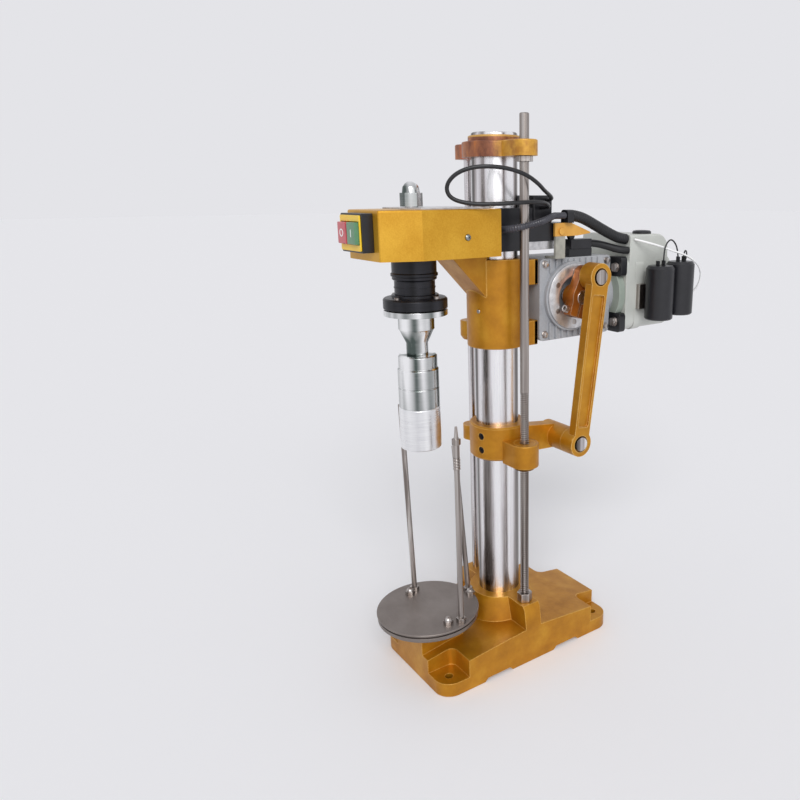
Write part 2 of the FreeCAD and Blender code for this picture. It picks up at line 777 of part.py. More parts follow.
def make_head_casting():
    """The head: sleeve on the column, forward floor, gusset, guide ear and the two gearbox arms."""
    top = "sleeve_top"
    floor_top = "cover_foot"
    floor_foot = "cover_foot - floor_thick"
    sleeve = cylinder("sleeve", "sleeve_dia / 2", "%s - sleeve_foot" % floor_top, z="sleeve_foot")
    ear = cylinder("guide_ear", "guide_ear_dia / 2", "guide_ear_height", "-rod_offset", 0, "guide_ear_foot")
    ear_web = box(
        "guide_ear_web", ("-rod_offset", 0), ("-guide_ear_dia / 2 + 3", "guide_ear_dia / 2 - 3"),
        ("guide_ear_foot", "guide_ear_foot + guide_ear_height"),
    )
    floor = plate(
        "head_floor", "top",
        both_sides([
            ("cover_half - cover_wall - 1", "-cover_rear"), ("cover_half - cover_wall - 1", "-cover_bend"),
            ("nose_half - cover_wall - 1", "-cover_front + cover_wall + 1"),
        ]),
        floor_foot, floor_top,
    )
    neck = box("head_neck", (-40, 40), ("-cover_rear - 2", 0), (floor_foot, floor_top))
    gusset = plate(
        "head_gusset", "side",
        [("-column_dia / 2", "sleeve_foot + 36"), ("-column_dia / 2", floor_top), ("-spindle_offset + 10", floor_top),
         ("-spindle_offset + 10", "%s - 9" % floor_foot), ("-column_dia / 2 - 22", "%s - 26" % floor_foot)],
        -20, 20,
    )
    quill_seat = cylinder("quill_seat", "quill_top_dia / 2 + 6", 14, 0, "-spindle_offset", "%s - 6" % floor_foot)
    arms = []
    for name, low in (("arm_low", "sleeve_foot"), ("arm_high", "%s - gearbox_arm_height" % top)):
        arm = box(
            name, ("-gearbox_arm_half", "gearbox_arm_half"), (10, "gearbox_front"), (low, low + " + gearbox_arm_height")
        )
        arms.append(eased(name + "_eased", arm, "8", lengthways))
    body = join("head_body", sleeve, ear, ear_web, floor, neck, gusset, quill_seat, *arms)
    node("head_casting", cut(
        "head_machined", body,
        cylinder("sleeve_bore", "column_dia / 2 + run_gap", 200, z="sleeve_foot - 20"),
        cylinder("ear_bore", "guide_dia / 2 + run_gap", 100, "-rod_offset", 0, "guide_ear_foot - 20"),
        cylinder("spindle_way", "spindle_bearing_dia / 2 + 2", 100, 0, "-spindle_offset", "quill_low"),
        cylinder("quill_relief", "quill_top_dia / 2 + 2", 40, 0, "-spindle_offset", "quill_mid - 29"),
        cylinder("quill_socket", "quill_top_dia / 2 + seat_gap", 100, 0, "-spindle_offset", "%s - 100" % floor_foot),
    ))


def make_cover():
    """The folded sheet cover over the belt, its top plate and its screws."""
    def outline(inset):
        rear = "-cover_rear + 10" if inset != "0" else "-cover_rear"
        return both_sides([
            ("cover_half - %s" % inset, rear), ("cover_half - %s" % inset, "-cover_bend"),
            ("nose_half - %s" % inset, "-cover_front + %s" % inset),
        ])
    shell = plate("cover_block", "top", outline("0"), "cover_foot", "cover_top")
    front_edge = value("-cover_rear - 1")
    shell = eased("cover_rounded", shell, "2.5", lambda edge: (
        (upright(edge) and edge.CenterOfMass.y < front_edge)
        or (level_at("cover_top")(edge) and edge.CenterOfMass.y < front_edge)
    ))
    inside = plate("cover_inside", "top", outline("cover_wall"), "cover_foot - 5", "cover_top - cover_wall")
    window = box(
        "switch_window", ("-switch_half + 5", "switch_half - 5"), ("-cover_front - 5", "-cover_front + 5"),
        ("switch_foot + 5", "switch_top - 5"),
    )
    hole = cylinder("cover_nut_hole", "spindle_dia / 2 + 4", 20, 0, "-spindle_offset", "cover_top - 10")
    tools = [inside, window, hole]
    screws = []
    for number, (side, along) in enumerate((("", 70), ("", 130), ("-", 70), ("-", 130)), start=1):
        x_low = "cover_half" if not side else "-cover_half - 3"
        level = "cover_foot + 20"
        head = cylinder("side_screw_%d" % number, 5, 3, x_low, -along, level, "X")
        shank_low = "cover_half - 8" if not side else "-cover_half - 1"
        shank = cylinder("side_shank_%d" % number, 2.5, 9, shank_low, -along, level, "X")
        screws.append(join("cover_screw_%d" % number, head, shank))
        tools.append(cylinder("side_hole_%d" % number, "2.5 + seat_gap", 20, "(%s) - 8" % x_low, -along, level, "X"))
    node("belt_cover", cut("cover_shell", shell, *tools))
    sheet_plate = plate(
        "cover_plate_blank", "top",
        both_sides([("cover_half - 8", "-cover_rear - 12"), ("cover_half - 8", "-cover_bend + 4")]),
        "cover_top", "cover_top + top_plate_thick",
    )
    hole = cylinder("plate_nut_hole", "spindle_dia / 2 + 4", 20, 0, "-spindle_offset", "cover_top - 10")
    node("cover_plate", cut("cover_plate_cut", sheet_plate, hole))
    return screws


def make_spindle_support():
    """The black quill housing, its lower flange and the two spindle bearings."""
    y = "-spindle_offset"
    bearing = "spindle_bearing_dia / 2 + seat_gap"
    floor_foot = "cover_foot - floor_thick"
    node("quill_housing", turned("quill_turned", [
        (bearing, "quill_low"), ("quill_low_dia / 2", "quill_low"), ("quill_low_dia / 2", "quill_mid"),
        ("quill_top_dia / 2", "quill_mid + 2"), ("quill_top_dia / 2", "quill_mid + 5"),
        ("quill_top_dia / 2 + 1.5", "quill_mid + 6"), ("quill_top_dia / 2 + 1.5", "quill_mid + 9"),
        ("quill_top_dia / 2", "quill_mid + 10"), ("quill_top_dia / 2", floor_foot),
        (bearing, floor_foot),
    ], 0, y))
    node("bearing_flange", turned("flange_turned", [
        ("spindle_dia / 2 + 2", "flange_low"), ("flange_dia / 2 - 1", "flange_low"),
        ("flange_dia / 2", "flange_low + 1"), ("flange_dia / 2", "quill_low - 6"),
        ("flange_dia / 2 - 2", "quill_low - 4"), ("quill_low_dia / 2 + 4", "quill_low - 3"),
        ("quill_low_dia / 2 + 4", "quill_low"), ("spindle_dia / 2 + 2", "quill_low"),
    ], 0, y))
    rings = []
    for name, low in (("bearing_low", "quill_low"), ("bearing_high", "%s - spindle_bearing_width" % floor_foot)):
        ring = cylinder(name + "_ring", "spindle_bearing_dia / 2", "spindle_bearing_width", 0, y, low)
        hole = cylinder(name + "_hole", "spindle_dia / 2 + run_gap", 40, 0, y, low + " - 10")
        rings.append(cut(name, ring, hole))
    node("spindle_bearings", group("spindle_bearing_pair", *rings))


def make_spindle():
    """What spins: shaft, pulley, acorn nut, chuck, sealing head body and cup with its rollers."""
    y = "-spindle_offset"
    chuck_top = "flange_low - 1"
    shaft = "spindle_dia / 2"
    node("spindle_shaft", turned("spindle_turned", [
        (0, "chuck_shoulder + 4"), (shaft, "chuck_shoulder + 4"), (shaft, "cover_top + top_plate_thick + 1"),
        (shaft + " - 2", "cover_top + top_plate_thick + 1"), (shaft + " - 2", "cap_nut_top - 10"),
        (0, "cap_nut_top - 10"),
    ], 0, y))
    rim = "spindle_pulley_dia / 2"
    low = "belt_level - pulley_width / 2"
    high = "belt_level + pulley_width / 2"
    node("spindle_pulley", turned("spindle_pulley_turned", [
        (shaft + " + seat_gap", low), (rim, low), (rim, low + " + 2"), (rim + " - 3", low + " + 3"),
        (rim + " - 3", high + " - 3"), (rim, high + " - 2"), (rim, high), (shaft + " + 14", high),
        (shaft + " + 10", high + " + 5"), (shaft + " + seat_gap", high + " + 5"),
    ], 0, y))
    nut_foot = "cover_top + top_plate_thick + 1"
    nut_hex = hexagon("cap_nut_hex", "cap_nut_flats", "cap_nut_top - 13 - (%s)" % nut_foot, 0, y, nut_foot)
    dome = turned("cap_nut_dome", [
        (0, "cap_nut_top - 13"), ("cap_nut_flats / 2 - 1", "cap_nut_top - 13"), ("cap_nut_flats / 2 - 2", "cap_nut_top - 6"),
        ("cap_nut_flats / 2 - 5", "cap_nut_top - 2"), ("cap_nut_flats / 2 - 8", "cap_nut_top"), (0, "cap_nut_top"),
    ], 0, y)
    bore = cylinder("cap_nut_bore", shaft + " - 2 + seat_gap", "cap_nut_top - 9.5 - (%s)" % nut_foot, 0, y, nut_foot)
    node("cap_nut", cut("cap_nut_bored", join("cap_nut_solid", nut_hex, dome), bore))
    bore_top = "chuck_shoulder + 4 - seat_gap"
    node("flanged_chuck", turned("chuck_turned", [
        (0, "chuck_foot"), ("chuck_neck_dia / 2", "chuck_foot"), ("chuck_neck_dia / 2", "chuck_neck"),
        ("chuck_dia / 2 - 1", "chuck_shoulder"), ("chuck_dia / 2", "chuck_shoulder + 1"),
        ("chuck_dia / 2", chuck_top + " - chuck_disc_thick"), ("flange_dia / 2", chuck_top + " - chuck_disc_thick"),
        ("flange_dia / 2", chuck_top), (shaft + " + seat_gap", chuck_top), (shaft + " + seat_gap", bore_top),
        (0, bore_top),
    ], 0, y))
    ring = "head_ring_dia / 2"
    body = "head_body_dia / 2"
    stem = "press_stem_dia / 2 + run_gap"
    split = "head_body_foot + 31"
    node("sealing_body", turned("sealing_body_turned", [
        (stem, "head_body_foot"), (body, "head_body_foot"), (body, split + " - 1"), (body + " - 1", split + " - 0.5"),
        (body + " - 1", split + " + 0.5"), (body, split + " + 1"), (body, "head_ring_foot - 2"),
        (body + " - 2", "head_ring_foot"), (ring, "head_ring_foot + 1"), (ring, "chuck_foot - 2"),
        (ring + " - 2", "chuck_foot"), (0, "chuck_foot"), (0, "head_ring_foot - 8"),
        (stem, "head_ring_foot - 8"),
    ], 0, y))
    cup = turned("cup_turned", [
        ("press_stem_dia / 2 + 1", "head_body_foot - cup_roof"), ("cup_dia / 2 - cup_wall", "head_body_foot - cup_roof"),
        ("cup_dia / 2 - cup_wall", "cup_foot"), ("cup_dia / 2 - 1", "cup_foot"), ("cup_dia / 2", "cup_foot + 1"),
        ("cup_dia / 2", "head_body_foot - 1.5"), ("cup_dia / 2 - 1.5", "head_body_foot"),
        ("press_stem_dia / 2 + 1", "head_body_foot"),
    ], 0, y)
    node("sealing_cup", cup)
    rollers = []
    for number in range(3):
        angle = math.radians(90 + 120 * number)
        x = value("roller_reach") * math.cos(angle)
        y_spot = value(y) + value("roller_reach") * math.sin(angle)
        roof = value("head_body_foot - cup_roof")
        arm = cylinder("roller_arm_%d" % (number + 1), 2.2, roof - value("cup_foot") - 12, x, y_spot, value("cup_foot") + 12)
        wheel = turned("roller_wheel_%d" % (number + 1), [
            (0, 0), ("roller_dia / 2 - 1", 0), ("roller_dia / 2", 2), ("roller_dia / 2 - 1", 4), (0, 4),
        ], x, y_spot, value("cup_foot") + 8)
        rollers.append(join("forming_roller_%d" % (number + 1), arm, wheel))
    node("forming_rollers", group("forming_roller_set", *rollers))
    node("press_block", turned("press_turned", [
        (0, "press_foot"), ("press_dia / 2 - 1", "press_foot"), ("press_dia / 2", "press_foot + 1"),
        ("press_dia / 2", "press_foot + 12"), ("press_stem_dia / 2", "press_foot + 12"),
        ("press_stem_dia / 2", "head_ring_foot - 8 - press_travel - 1"),
        (0, "head_ring_foot - 8 - press_travel - 1"),
    ], 0, y))


def stadium(name, radius, radius_end, y, y_end, low, high):
    """The outline of a belt round two pulleys, as a block between two heights."""
    front = cylinder(name + "_front", radius, "(%s) - (%s)" % (high, low), 0, y, low)
    rear = cylinder(name + "_rear", radius_end, "(%s) - (%s)" % (high, low), 0, y_end, low)
    span = "((%s) - (%s))" % (y_end, y)
    sine = "(((%s) - (%s)) / %s)" % (radius, radius_end, span)
    cosine = "sqrt(1 - %s * %s)" % (sine, sine)
    sides = plate(
        name + "_sides", "top",
        both_sides([
            ("(%s) * %s" % (radius, cosine), "(%s) + (%s) * %s" % (y, radius, sine)),
            ("(%s) * %s" % (radius_end, cosine), "(%s) + (%s) * %s" % (y_end, radius_end, sine)),
        ]),
        low, high,
    )
    return join(name, front, rear, sides)


def make_belt_drive():
    """The spindle's motor behind the column, with its pulley, belt, plate and black guard."""
    front = "-spindle_offset"
    rear = "drive_axis_y"
    low = "belt_level - belt_width / 2"
    high = "belt_level + belt_width / 2"
    wrap = "spindle_pulley_dia / 2 - 3 + face_gap"
    wrap_end = "motor_pulley_dia / 2 - 3 + face_gap"
    outer = stadium("belt_outer", wrap + " + belt_thick", wrap_end + " + belt_thick", front, rear, low, high)
    inner = stadium("belt_inner", wrap, wrap_end, front, rear, "%s - 1" % low, "%s + 1" % high)
    node("drive_belt", cut("belt_loop", outer, inner))
    rim = "motor_pulley_dia / 2"
    foot = "guard_floor + guard_wall + 1"
    face = "belt_level + pulley_width / 2"
    node("motor_pulley", turned("motor_pulley_turned", [
        (0, foot), (rim, foot), (rim, foot + " + 2"), (rim + " - 3", foot + " + 3"), (rim + " - 3", face + " - 3"),
        (rim, face + " - 2"), (rim, face), (4, face), (4, "guard_low_top + 8"), (0, "guard_low_top + 8"),
    ], 0, rear))
    block = box(
        "spindle_motor_block", ("-spindle_motor_half", "spindle_motor_half"),
        ("drive_axis_y - spindle_motor_depth / 2", "drive_axis_y + spindle_motor_depth / 2"),
        ("guard_low_top", "spindle_motor_top"),
    )
    block = eased("spindle_motor_eased", block, "3", upright)
    well = cylinder("spindle_motor_well", "4 + run_gap", 9, 0, rear, "guard_low_top")
    node("spindle_motor", cut("spindle_motor_bored", block, well))
    plate_rear = cylinder("drive_plate_round", "drive_plate_half", "guard_floor - drive_plate_foot", 0,
                          "guard_rear - drive_plate_half - 2", "drive_plate_foot")
    plate_front = box("drive_plate_square", ("-drive_plate_half", "drive_plate_half"),
                      ("drive_plate_front", "guard_rear - drive_plate_half - 2"), ("drive_plate_foot", "guard_floor"))
    notch = cylinder("drive_plate_notch", "column_dia / 2 + 1.5", 40, z="drive_plate_foot - 10")
    node("drive_plate", cut("drive_plate_notched", join("drive_plate_blank", plate_front, plate_rear), notch))

    def guard_form(name, inset, end_inset, tall_top, low_top, floor):
        half = "guard_half - %s" % inset
        y_low = "-cover_rear + (%s)" % end_inset
        deck = box(name + "_deck", ("-(%s)" % half, half), (y_low, "guard_rear - %s" % inset), (floor, low_top))
        deck = eased(name + "_round", deck, "guard_round - %s" % inset, lambda edge: (
            upright(edge) and edge.CenterOfMass.y > 50
        ))
        hood = box(name + "_hood", ("-(%s)" % half, half), (y_low, "guard_step_y - %s" % inset), (floor, tall_top))
        return join(name, deck, hood)
    outside = guard_form("guard_outside", "0", "0", "cover_top", "guard_low_top", "guard_floor")
    inside = guard_form("guard_inside", "guard_wall", "-5", "cover_top - guard_wall", "guard_low_top - guard_wall",
                        "guard_floor + guard_wall")
    apron = box("guard_apron", ("-guard_half", "guard_half"), ("-cover_rear", "drive_plate_front - 0.5"),
                ("drive_plate_foot", "guard_floor + guard_wall"))
    shell = cut("guard_hollow", join("guard_solid", outside, apron), inside)
    bore = cylinder("guard_bore", "column_dia / 2 + 1.8", 120, z="drive_plate_foot - 20")
    motor_hole = cylinder("guard_motor_hole", "6", 40, 0, rear, "guard_low_top - 20")
    node("belt_guard", cut("guard_bored", shell, bore, motor_hole))


def make_gearbox():
    """The worm gearbox: ribbed housing, output cover ring with its screws, and the output shaft."""
    face = "gearbox_half + gearbox_boss"
    block = box(
        "gearbox_block", ("-gearbox_half", "gearbox_half"), ("gearbox_front", "gearbox_rear"),
        ("gearbox_foot", "gearbox_top"),
    )
    block = eased("gearbox_eased", block, "7", lengthways)
    boss = cylinder("gearbox_boss_round", "gearbox_boss_dia / 2", "2 * (%s)" % face, "-(%s)" % face, "output_y",
                    "output_z", "X")
    neck = cylinder("gearbox_neck", "gearbox_half + 1", "motor_flange_front - gearbox_rear + 10", 0,
                    "gearbox_rear - 10", "motor_axis_z", "Y")
    body = join("gearbox_body", block, boss, neck)
    depth = "gearbox_boss + 10"
    recess_low = "%s - (%s)" % (face, depth)
    node("gearbox_housing", cut(
        "gearbox_bored", body,
        cylinder("output_bore", "output_shaft_dia / 2 + run_gap", 200, -100, "output_y", "output_z", "X"),
        cylinder("output_recess", "cover_ring_bore / 2", 40, recess_low, "output_y", "output_z", "X"),
    ))
    ring = turned("cover_ring_turned", [
        ("cover_ring_bore / 2", 0), ("cover_ring_dia / 2", 0), ("cover_ring_dia / 2", "cover_ring_thick - 1.5"),
        ("cover_ring_dia / 2 - 6", "cover_ring_thick"), ("cover_ring_bore / 2 + 2", "cover_ring_thick"),
        ("cover_ring_bore / 2", "cover_ring_thick - 1.5"),
    ], face, "output_y", "output_z", "X")
    screws = []
    holes = []
    for number in range(6):
        angle = math.radians(30 + 60 * number)
        reach = value("cover_ring_dia / 4 + cover_ring_bore / 4") - 0.5
        y = value("output_y") + reach * math.cos(angle)
        z = value("output_z") + reach * math.sin(angle)
        holes.append(cylinder("ring_hole_%d" % (number + 1), "2 + seat_gap", 20, face, y, z, "X"))
        shank = cylinder("ring_shank_%d" % (number + 1), 2, "cover_ring_thick", face, y, z, "X")
        head = cylinder("ring_head_%d" % (number + 1), 3.6, 0.7, face + " + cover_ring_thick", y, z, "X")
        screws.append(join("ring_screw_%d" % (number + 1), shank, head))
    node("output_cover", cut("cover_ring_drilled", ring, *holes))
    node("output_shaft", cylinder(
        "output_bar", "output_shaft_dia / 2", "crank_inner_x + crank_thick + 1 + gearbox_half + 7", "-gearbox_half - 7",
        "output_y", "output_z", "X"
    ))
    return screws


def make_lift_motor():
    """The lift motor: lobed flange, frame, band, slotted cowl and the terminal box on top."""
    half = "motor_flange_half"
    y_span = ("motor_flange_front", "motor_flange_rear")
    lobes = []
    bolts = []
    for number, (side_x, side_z) in enumerate(((1, 1), (-1, 1), (-1, -1), (1, -1)), start=1):
        spans = []
        for side, centre in ((side_x, "0"), (side_z, "motor_axis_z")):
            near, far = "(%s - motor_lobe)" % half, half
            if side > 0:
                spans.append(("%s + %s" % (centre, near), "%s + %s" % (centre, far)))
            else:
                spans.append(("%s - %s" % (centre, far), "%s - %s" % (centre, near)))
        lobe = box("lobe_%d" % number, spans[0], y_span, spans[1])
        lobes.append(eased("lobe_eased_%d" % number, lobe, "5", depthways))
        x = "(%s - motor_lobe * 0.4) * (%d)" % (half, side_x)
        z = "motor_axis_z + (%s - motor_lobe * 0.55) * (%d)" % (half, side_z)
        head = hexagon("flange_bolt_hex_%d" % number, 11, 6, x, "motor_flange_front - 6", z, "Y")
        washer = cylinder("flange_bolt_washer_%d" % number, 7, 1.5, x, "motor_flange_front - 1.5", z, "Y")
        bolts.append(join("flange_bolt_%d" % number, head, washer))
    disc = cylinder(
        "flange_disc", "motor_flange_half - 2", "motor_flange_rear - motor_flange_front", 0, "motor_flange_front",
        "motor_axis_z", "Y",
    )
    node("motor_flange", join("flange_body", disc, *lobes))

    def section(name, inset, low, high):
        reach = "motor_half - %s" % inset
        block = box(
            name, ("-(%s)" % reach, reach), (low, high), ("motor_axis_z - (%s)" % reach, "motor_axis_z + %s" % reach)
        )
        return eased(name + "_eased", block, "motor_corner", depthways)
    frame = section("motor_frame_block", 1, "motor_flange_rear", "motor_band_front")
    band = section("motor_band_block", 0, "motor_band_front", "motor_band_rear")
    node("motor_frame", join("motor_frame_body", frame, band))
    cowl = section("motor_cowl_block", 1.5, "motor_band_rear", "motor_cowl_rear")
    rear = value("motor_cowl_rear")
    cowl = eased("motor_cowl_round", cowl, "7", lambda edge: (
        abs(edge.BoundBox.YMin - rear) < 0.01 and abs(edge.BoundBox.YMax - rear) < 0.01
    ))
    slots = []
    for number in range(7):
        level = "motor_axis_z + %d" % (number * 10 - 32)
        slots.append(box(
            "cowl_slot_%d" % number, ("motor_half - 4", "motor_half"), ("motor_cowl_rear - 36", "motor_cowl_rear - 14"),
            (level, level + " + 4"),
        ))
        slots.append(box(
            "cowl_vent_%d" % number, (-30, 30), ("motor_cowl_rear - 3", "motor_cowl_rear + 1"), (level, level + " + 4")
        ))
    node("motor_cowl", cut("motor_cowl_slotted", cowl, *slots))
    shell = box(
        "terminal_blank", ("-motor_half + 8", "motor_half - 1"), ("terminal_front", "terminal_rear"),
        ("motor_axis_z + 30", "terminal_top"),
    )
    rear, top = value("terminal_rear"), value("terminal_top")
    shell = eased("terminal_round_top", shell, "terminal_round", lambda edge: (
        edge.BoundBox.YMin > rear - 0.01 and edge.BoundBox.ZMin > top - 0.01
    ))
    shell = eased("terminal_eased", shell, "3", lambda edge: (
        depthways(edge) and edge.BoundBox.ZMin > top - 0.01
    ))
    seat = join(
        "terminal_seat",
        section("terminal_seat_frame", 0.95, "motor_flange_rear", "motor_band_front"),
        section("terminal_seat_band", -0.05, "motor_band_front", "motor_band_rear"),
        section("terminal_seat_cowl", 1.45, "motor_band_rear", "motor_cowl_rear"),
    )
    node("terminal_box", cut("terminal_fitted", shell, seat))
    return bolts


def make_capacitors():
    """Two capacitors on a plate at the motor's near side."""
    x = "capacitor_x"
    cans = []
    for number in range(2):
        y = "capacitor_y + capacitor_pitch * %d" % number
        foot = "capacitor_foot + %d" % (4 * number)
        can = turned("capacitor_can_%d" % (number + 1), [
            (0, 0), ("capacitor_dia / 2 - 2", 0), ("capacitor_dia / 2", 2),
            ("capacitor_dia / 2", "capacitor_height - 4"), ("capacitor_dia / 2 - 3", "capacitor_height"),
            (0, "capacitor_height"),
        ], x, y, foot)
        tabs = []
        for side in (-6, 6):
            tabs.append(box(
                "capacitor_tab_%d_%d" % (number + 1, side + 6), (x + " - 3", x + " + 3"),
                (y + " + %d" % (side - 1), y + " + %d" % (side + 1)),
                (foot + " + capacitor_height - 1", foot + " + capacitor_height + 7"),
            ))
        cans.append(join("capacitor_%d" % (number + 1), can, *tabs))
    node("capacitors", group("capacitor_pair", *cans))
    near = "capacitor_x - capacitor_dia / 2 - seat_gap"
    sheet_plate = box(
        "capacitor_sheet", ("motor_half", near), ("motor_band_front + 2", "motor_cowl_rear - 6"),
        ("motor_axis_z - 22", "motor_axis_z + 14"),
    )
    blank = section_less("capacitor_plate", sheet_plate)
    node("capacitor_plate", blank)


def section_less(name, blank):
    """The capacitor plate, relieved where the band stands proud of the cowl."""
    relief = box(
        name + "_relief", ("motor_half - 5", "motor_half + seat_gap"), ("motor_band_front - 5", "motor_band_rear + 1"),
        ("motor_axis_z - 60", "motor_axis_z + 60"),
    )
    return cut(name + "_relieved", blank, relief)


def make_limit_switch():
    """The limit switch on the gearbox, its yellow bracket on a strap, and the hose clip."""
    low = "bracket_x"
    high = "bracket_x + bracket_thick"
    bracket = plate(
        "bracket_blank", "side",
        [(64, "bracket_foot"), (103, "bracket_foot"), (127, "bracket_tip - 2"), (127, "bracket_tip"),
         (92, "bracket_top"), (64, "bracket_top")], low, high,
    )
    hole = cylinder("bracket_hole", "2.5 + seat_gap", 40, "bracket_x - 10", 74, "bracket_top - 11", "X")
    bracket = cut("limit_bracket_drilled", bracket, hole)
    strap = box("strap_upright", (low, high), (65, 82), ("gearbox_top + 1", "bracket_foot"))
    foot = box("strap_foot", (25, high), (65, 82), ("gearbox_top", "gearbox_top + 3"))
    strap = join("switch_strap", strap, foot)
    head = cylinder("bracket_screw_head", 4.5, 3, high, 74, "bracket_top - 11", "X")
    shank = cylinder("bracket_screw_shank", 2.5, "bracket_thick", low, 74, "bracket_top - 11", "X")
    screw = join("bracket_screw", head, shank)
    clamp = box("clamp_block", ("bracket_x - 4", "bracket_x + 11"), ("clamp_front", "clamp_rear"),
                ("bracket_top", "clip_top"))
    clamp = eased("clamp_eased", clamp, "5", depthways_above(value("clip_top - 8")))
    node("limit_bracket", group("limit_bracket_set", bracket, strap, screw))
    node("hose_clip", clamp)
    body = box("limit_switch_body", (22, 40), (100, 138), ("gearbox_top + 11", "gearbox_top + 24"))
    base = box("limit_switch_base", (14, 38), (98, 140), ("gearbox_top", "gearbox_top + 11"))
    body = eased("limit_switch_eased", body, "1.5", upright)
    roller = cylinder("limit_roller", 5, 6, 26, 108, "gearbox_top + 28", "X")
    node("limit_switch", join("limit_switch_joined", body, base, roller))


def make_nose_switch():
    """The switch on the nose: black box, yellow frame, red and green push buttons."""
    front = "-cover_front - switch_depth"
    outside = box("switch_outside", ("-switch_half", "switch_half"), (front, "-cover_front"), ("switch_foot", "switch_top"))
    outside = eased("switch_outside_eased", outside, "2", depthways)
    inside = box(
        "switch_inside", ("-switch_half + 5.3", "switch_half - 5.3"), ("-cover_front", "-cover_front + 14"),
        ("switch_foot + 5.3", "switch_top - 5.3"),
    )
    level = "(switch_foot + switch_top) / 2"
    wells = []
    for name, side in (("stop", -1), ("start", 1)):
        spans = ["1.5", "1.5 + button_width"]
        if side < 0:
            spans = ["-1.5 - button_width", "-1.5"]
        z_span = (level + " - button_height / 2", level + " + button_height / 2")
        wells.append(box(
            name + "_well", (spans[0] + " - face_gap", spans[1] + " + face_gap"), (front + " - 5", "-cover_front + 8"),
            (z_span[0] + " - face_gap", z_span[1] + " + face_gap"),
        ))
        button = box(
            name + "_button_block", spans, (front + " - switch_frame_thick - button_proud", "-cover_front - 3.3"), z_span
        )
        node(name + "_button", eased(name + "_button_eased", button, "1.2", lambda edge: (
            edge.BoundBox.YMax < value("-cover_front - switch_depth")
        )))
    node("switch_box", cut("switch_hollow", join("switch_body", outside, inside), *wells))
    frame = box(
        "frame_outside", ("-switch_half + 2", "switch_half - 2"), (front + " - switch_frame_thick", front),
        ("switch_foot + 2", "switch_top - 2"),
    )
    frame = eased("frame_eased", frame, "2", depthways)
    opening = box(
        "frame_opening", ("-button_width - 2.2", "button_width + 2.2"), (front + " - 10", front + " + 10"),
        (level + " - button_height / 2 - 0.6", level + " + button_height / 2 + 0.6"),
    )
    node("switch_frame", cut("frame_cut", frame, opening))


def swing(thing, angle, centre):
    """Turns a finished piece about an X axis through a point."""
    turn = Rotation(Vector(1, 0, 0), angle)
    holder = group(thing.Name + "_turned", thing)
    holder.Placement = Placement(Vector(0, value(centre[0]), value(centre[1])), turn)
    bind(holder, "Placement.Base.y", centre[0])
    bind(holder, "Placement.Base.z", centre[1])
    return holder


def make_crank():
    """The split crank on the output shaft, its clamp screw and the crank pin."""
    inner = "crank_inner_x"
    outer = "crank_inner_x + crank_thick"
    hub = cylinder("crank_hub", "crank_hub_dia / 2", outer + " - gearbox_half - 3", "gearbox_half + 3", 0, 0, "X")
    eye = cylinder("crank_eye", "crank_eye_dia / 2", "crank_thick", inner, 0, "crank_radius", "X")
    hub_reach = "crank_hub_dia / 2"
    eye_reach = "crank_eye_dia / 2"
    web = plate("crank_web", "side", [
        ("-" + hub_reach, 0), (hub_reach, 0), (eye_reach, "crank_radius"), ("-" + eye_reach, "crank_radius"),
    ], inner, outer)
    jaw = plate("crank_jaw", "side", [
        ("-%s + 2" % hub_reach, 0), ("-%s + 3" % hub_reach, "-crank_split"), (hub_reach + " - 3", "-crank_split"),
        (hub_reach + " - 2", 0),
    ], inner, outer)
    jaw = eased("crank_jaw_eased", jaw, "3", lambda edge: lengthways(edge) and edge.CenterOfMass.z < -20)
    bolt_z = "-crank_split + 7"
    middle = "crank_inner_x + crank_thick / 2"
    body = cut(
        "crank_bored", join("crank_body", hub, eye, web, jaw),
        cylinder("crank_shaft_bore", "output_shaft_dia / 2 + seat_gap", 100, 0, 0, 0, "X"),
        cylinder("crank_pin_bore", "crank_pin_dia / 2 + seat_gap", 100, 0, 0, "crank_radius", "X"),
        box("crank_slit", (inner + " - 20", outer + " + 1"), (-1, 1), ("-crank_split - 1", 0)),
        cylinder("crank_bolt_bore", "3 + seat_gap", 60, middle, -30, bolt_z, "Y"),
    )
    centre = ("output_y", "output_z")
    angle = -value("crank_rest")
    node("crank_arm", swing(body, angle, centre))
    pin = cylinder(
        "crank_pin_bar", "crank_pin_dia / 2", "crank_thick + rod_gap + rod_eye_length", inner, 0, "crank_radius", "X"
    )
    washer = cylinder(
        "crank_pin_washer", "crank_pin_dia / 2 + 3", 1.5, "%s + rod_gap + rod_eye_length" % outer, 0, "crank_radius", "X"
    )
    shank = cylinder("clamp_shank", 3, "crank_hub_dia - 6", middle, "-%s + 3" % hub_reach, bolt_z, "Y")
    head = cylinder("clamp_head", 5, 6, middle, "-%s - 3.5" % hub_reach, bolt_z, "Y")
    socket = hexagon("clamp_socket", 5, 3, middle, "-%s - 3.5" % hub_reach, bolt_z, "Y")
    clamp = cut("clamp_screw", join("clamp_blank", shank, head), socket)
    pins = group("crank_pin_set", join("crank_pin", pin, washer), clamp)
    node("crank_pins", swing(pins, angle, centre))


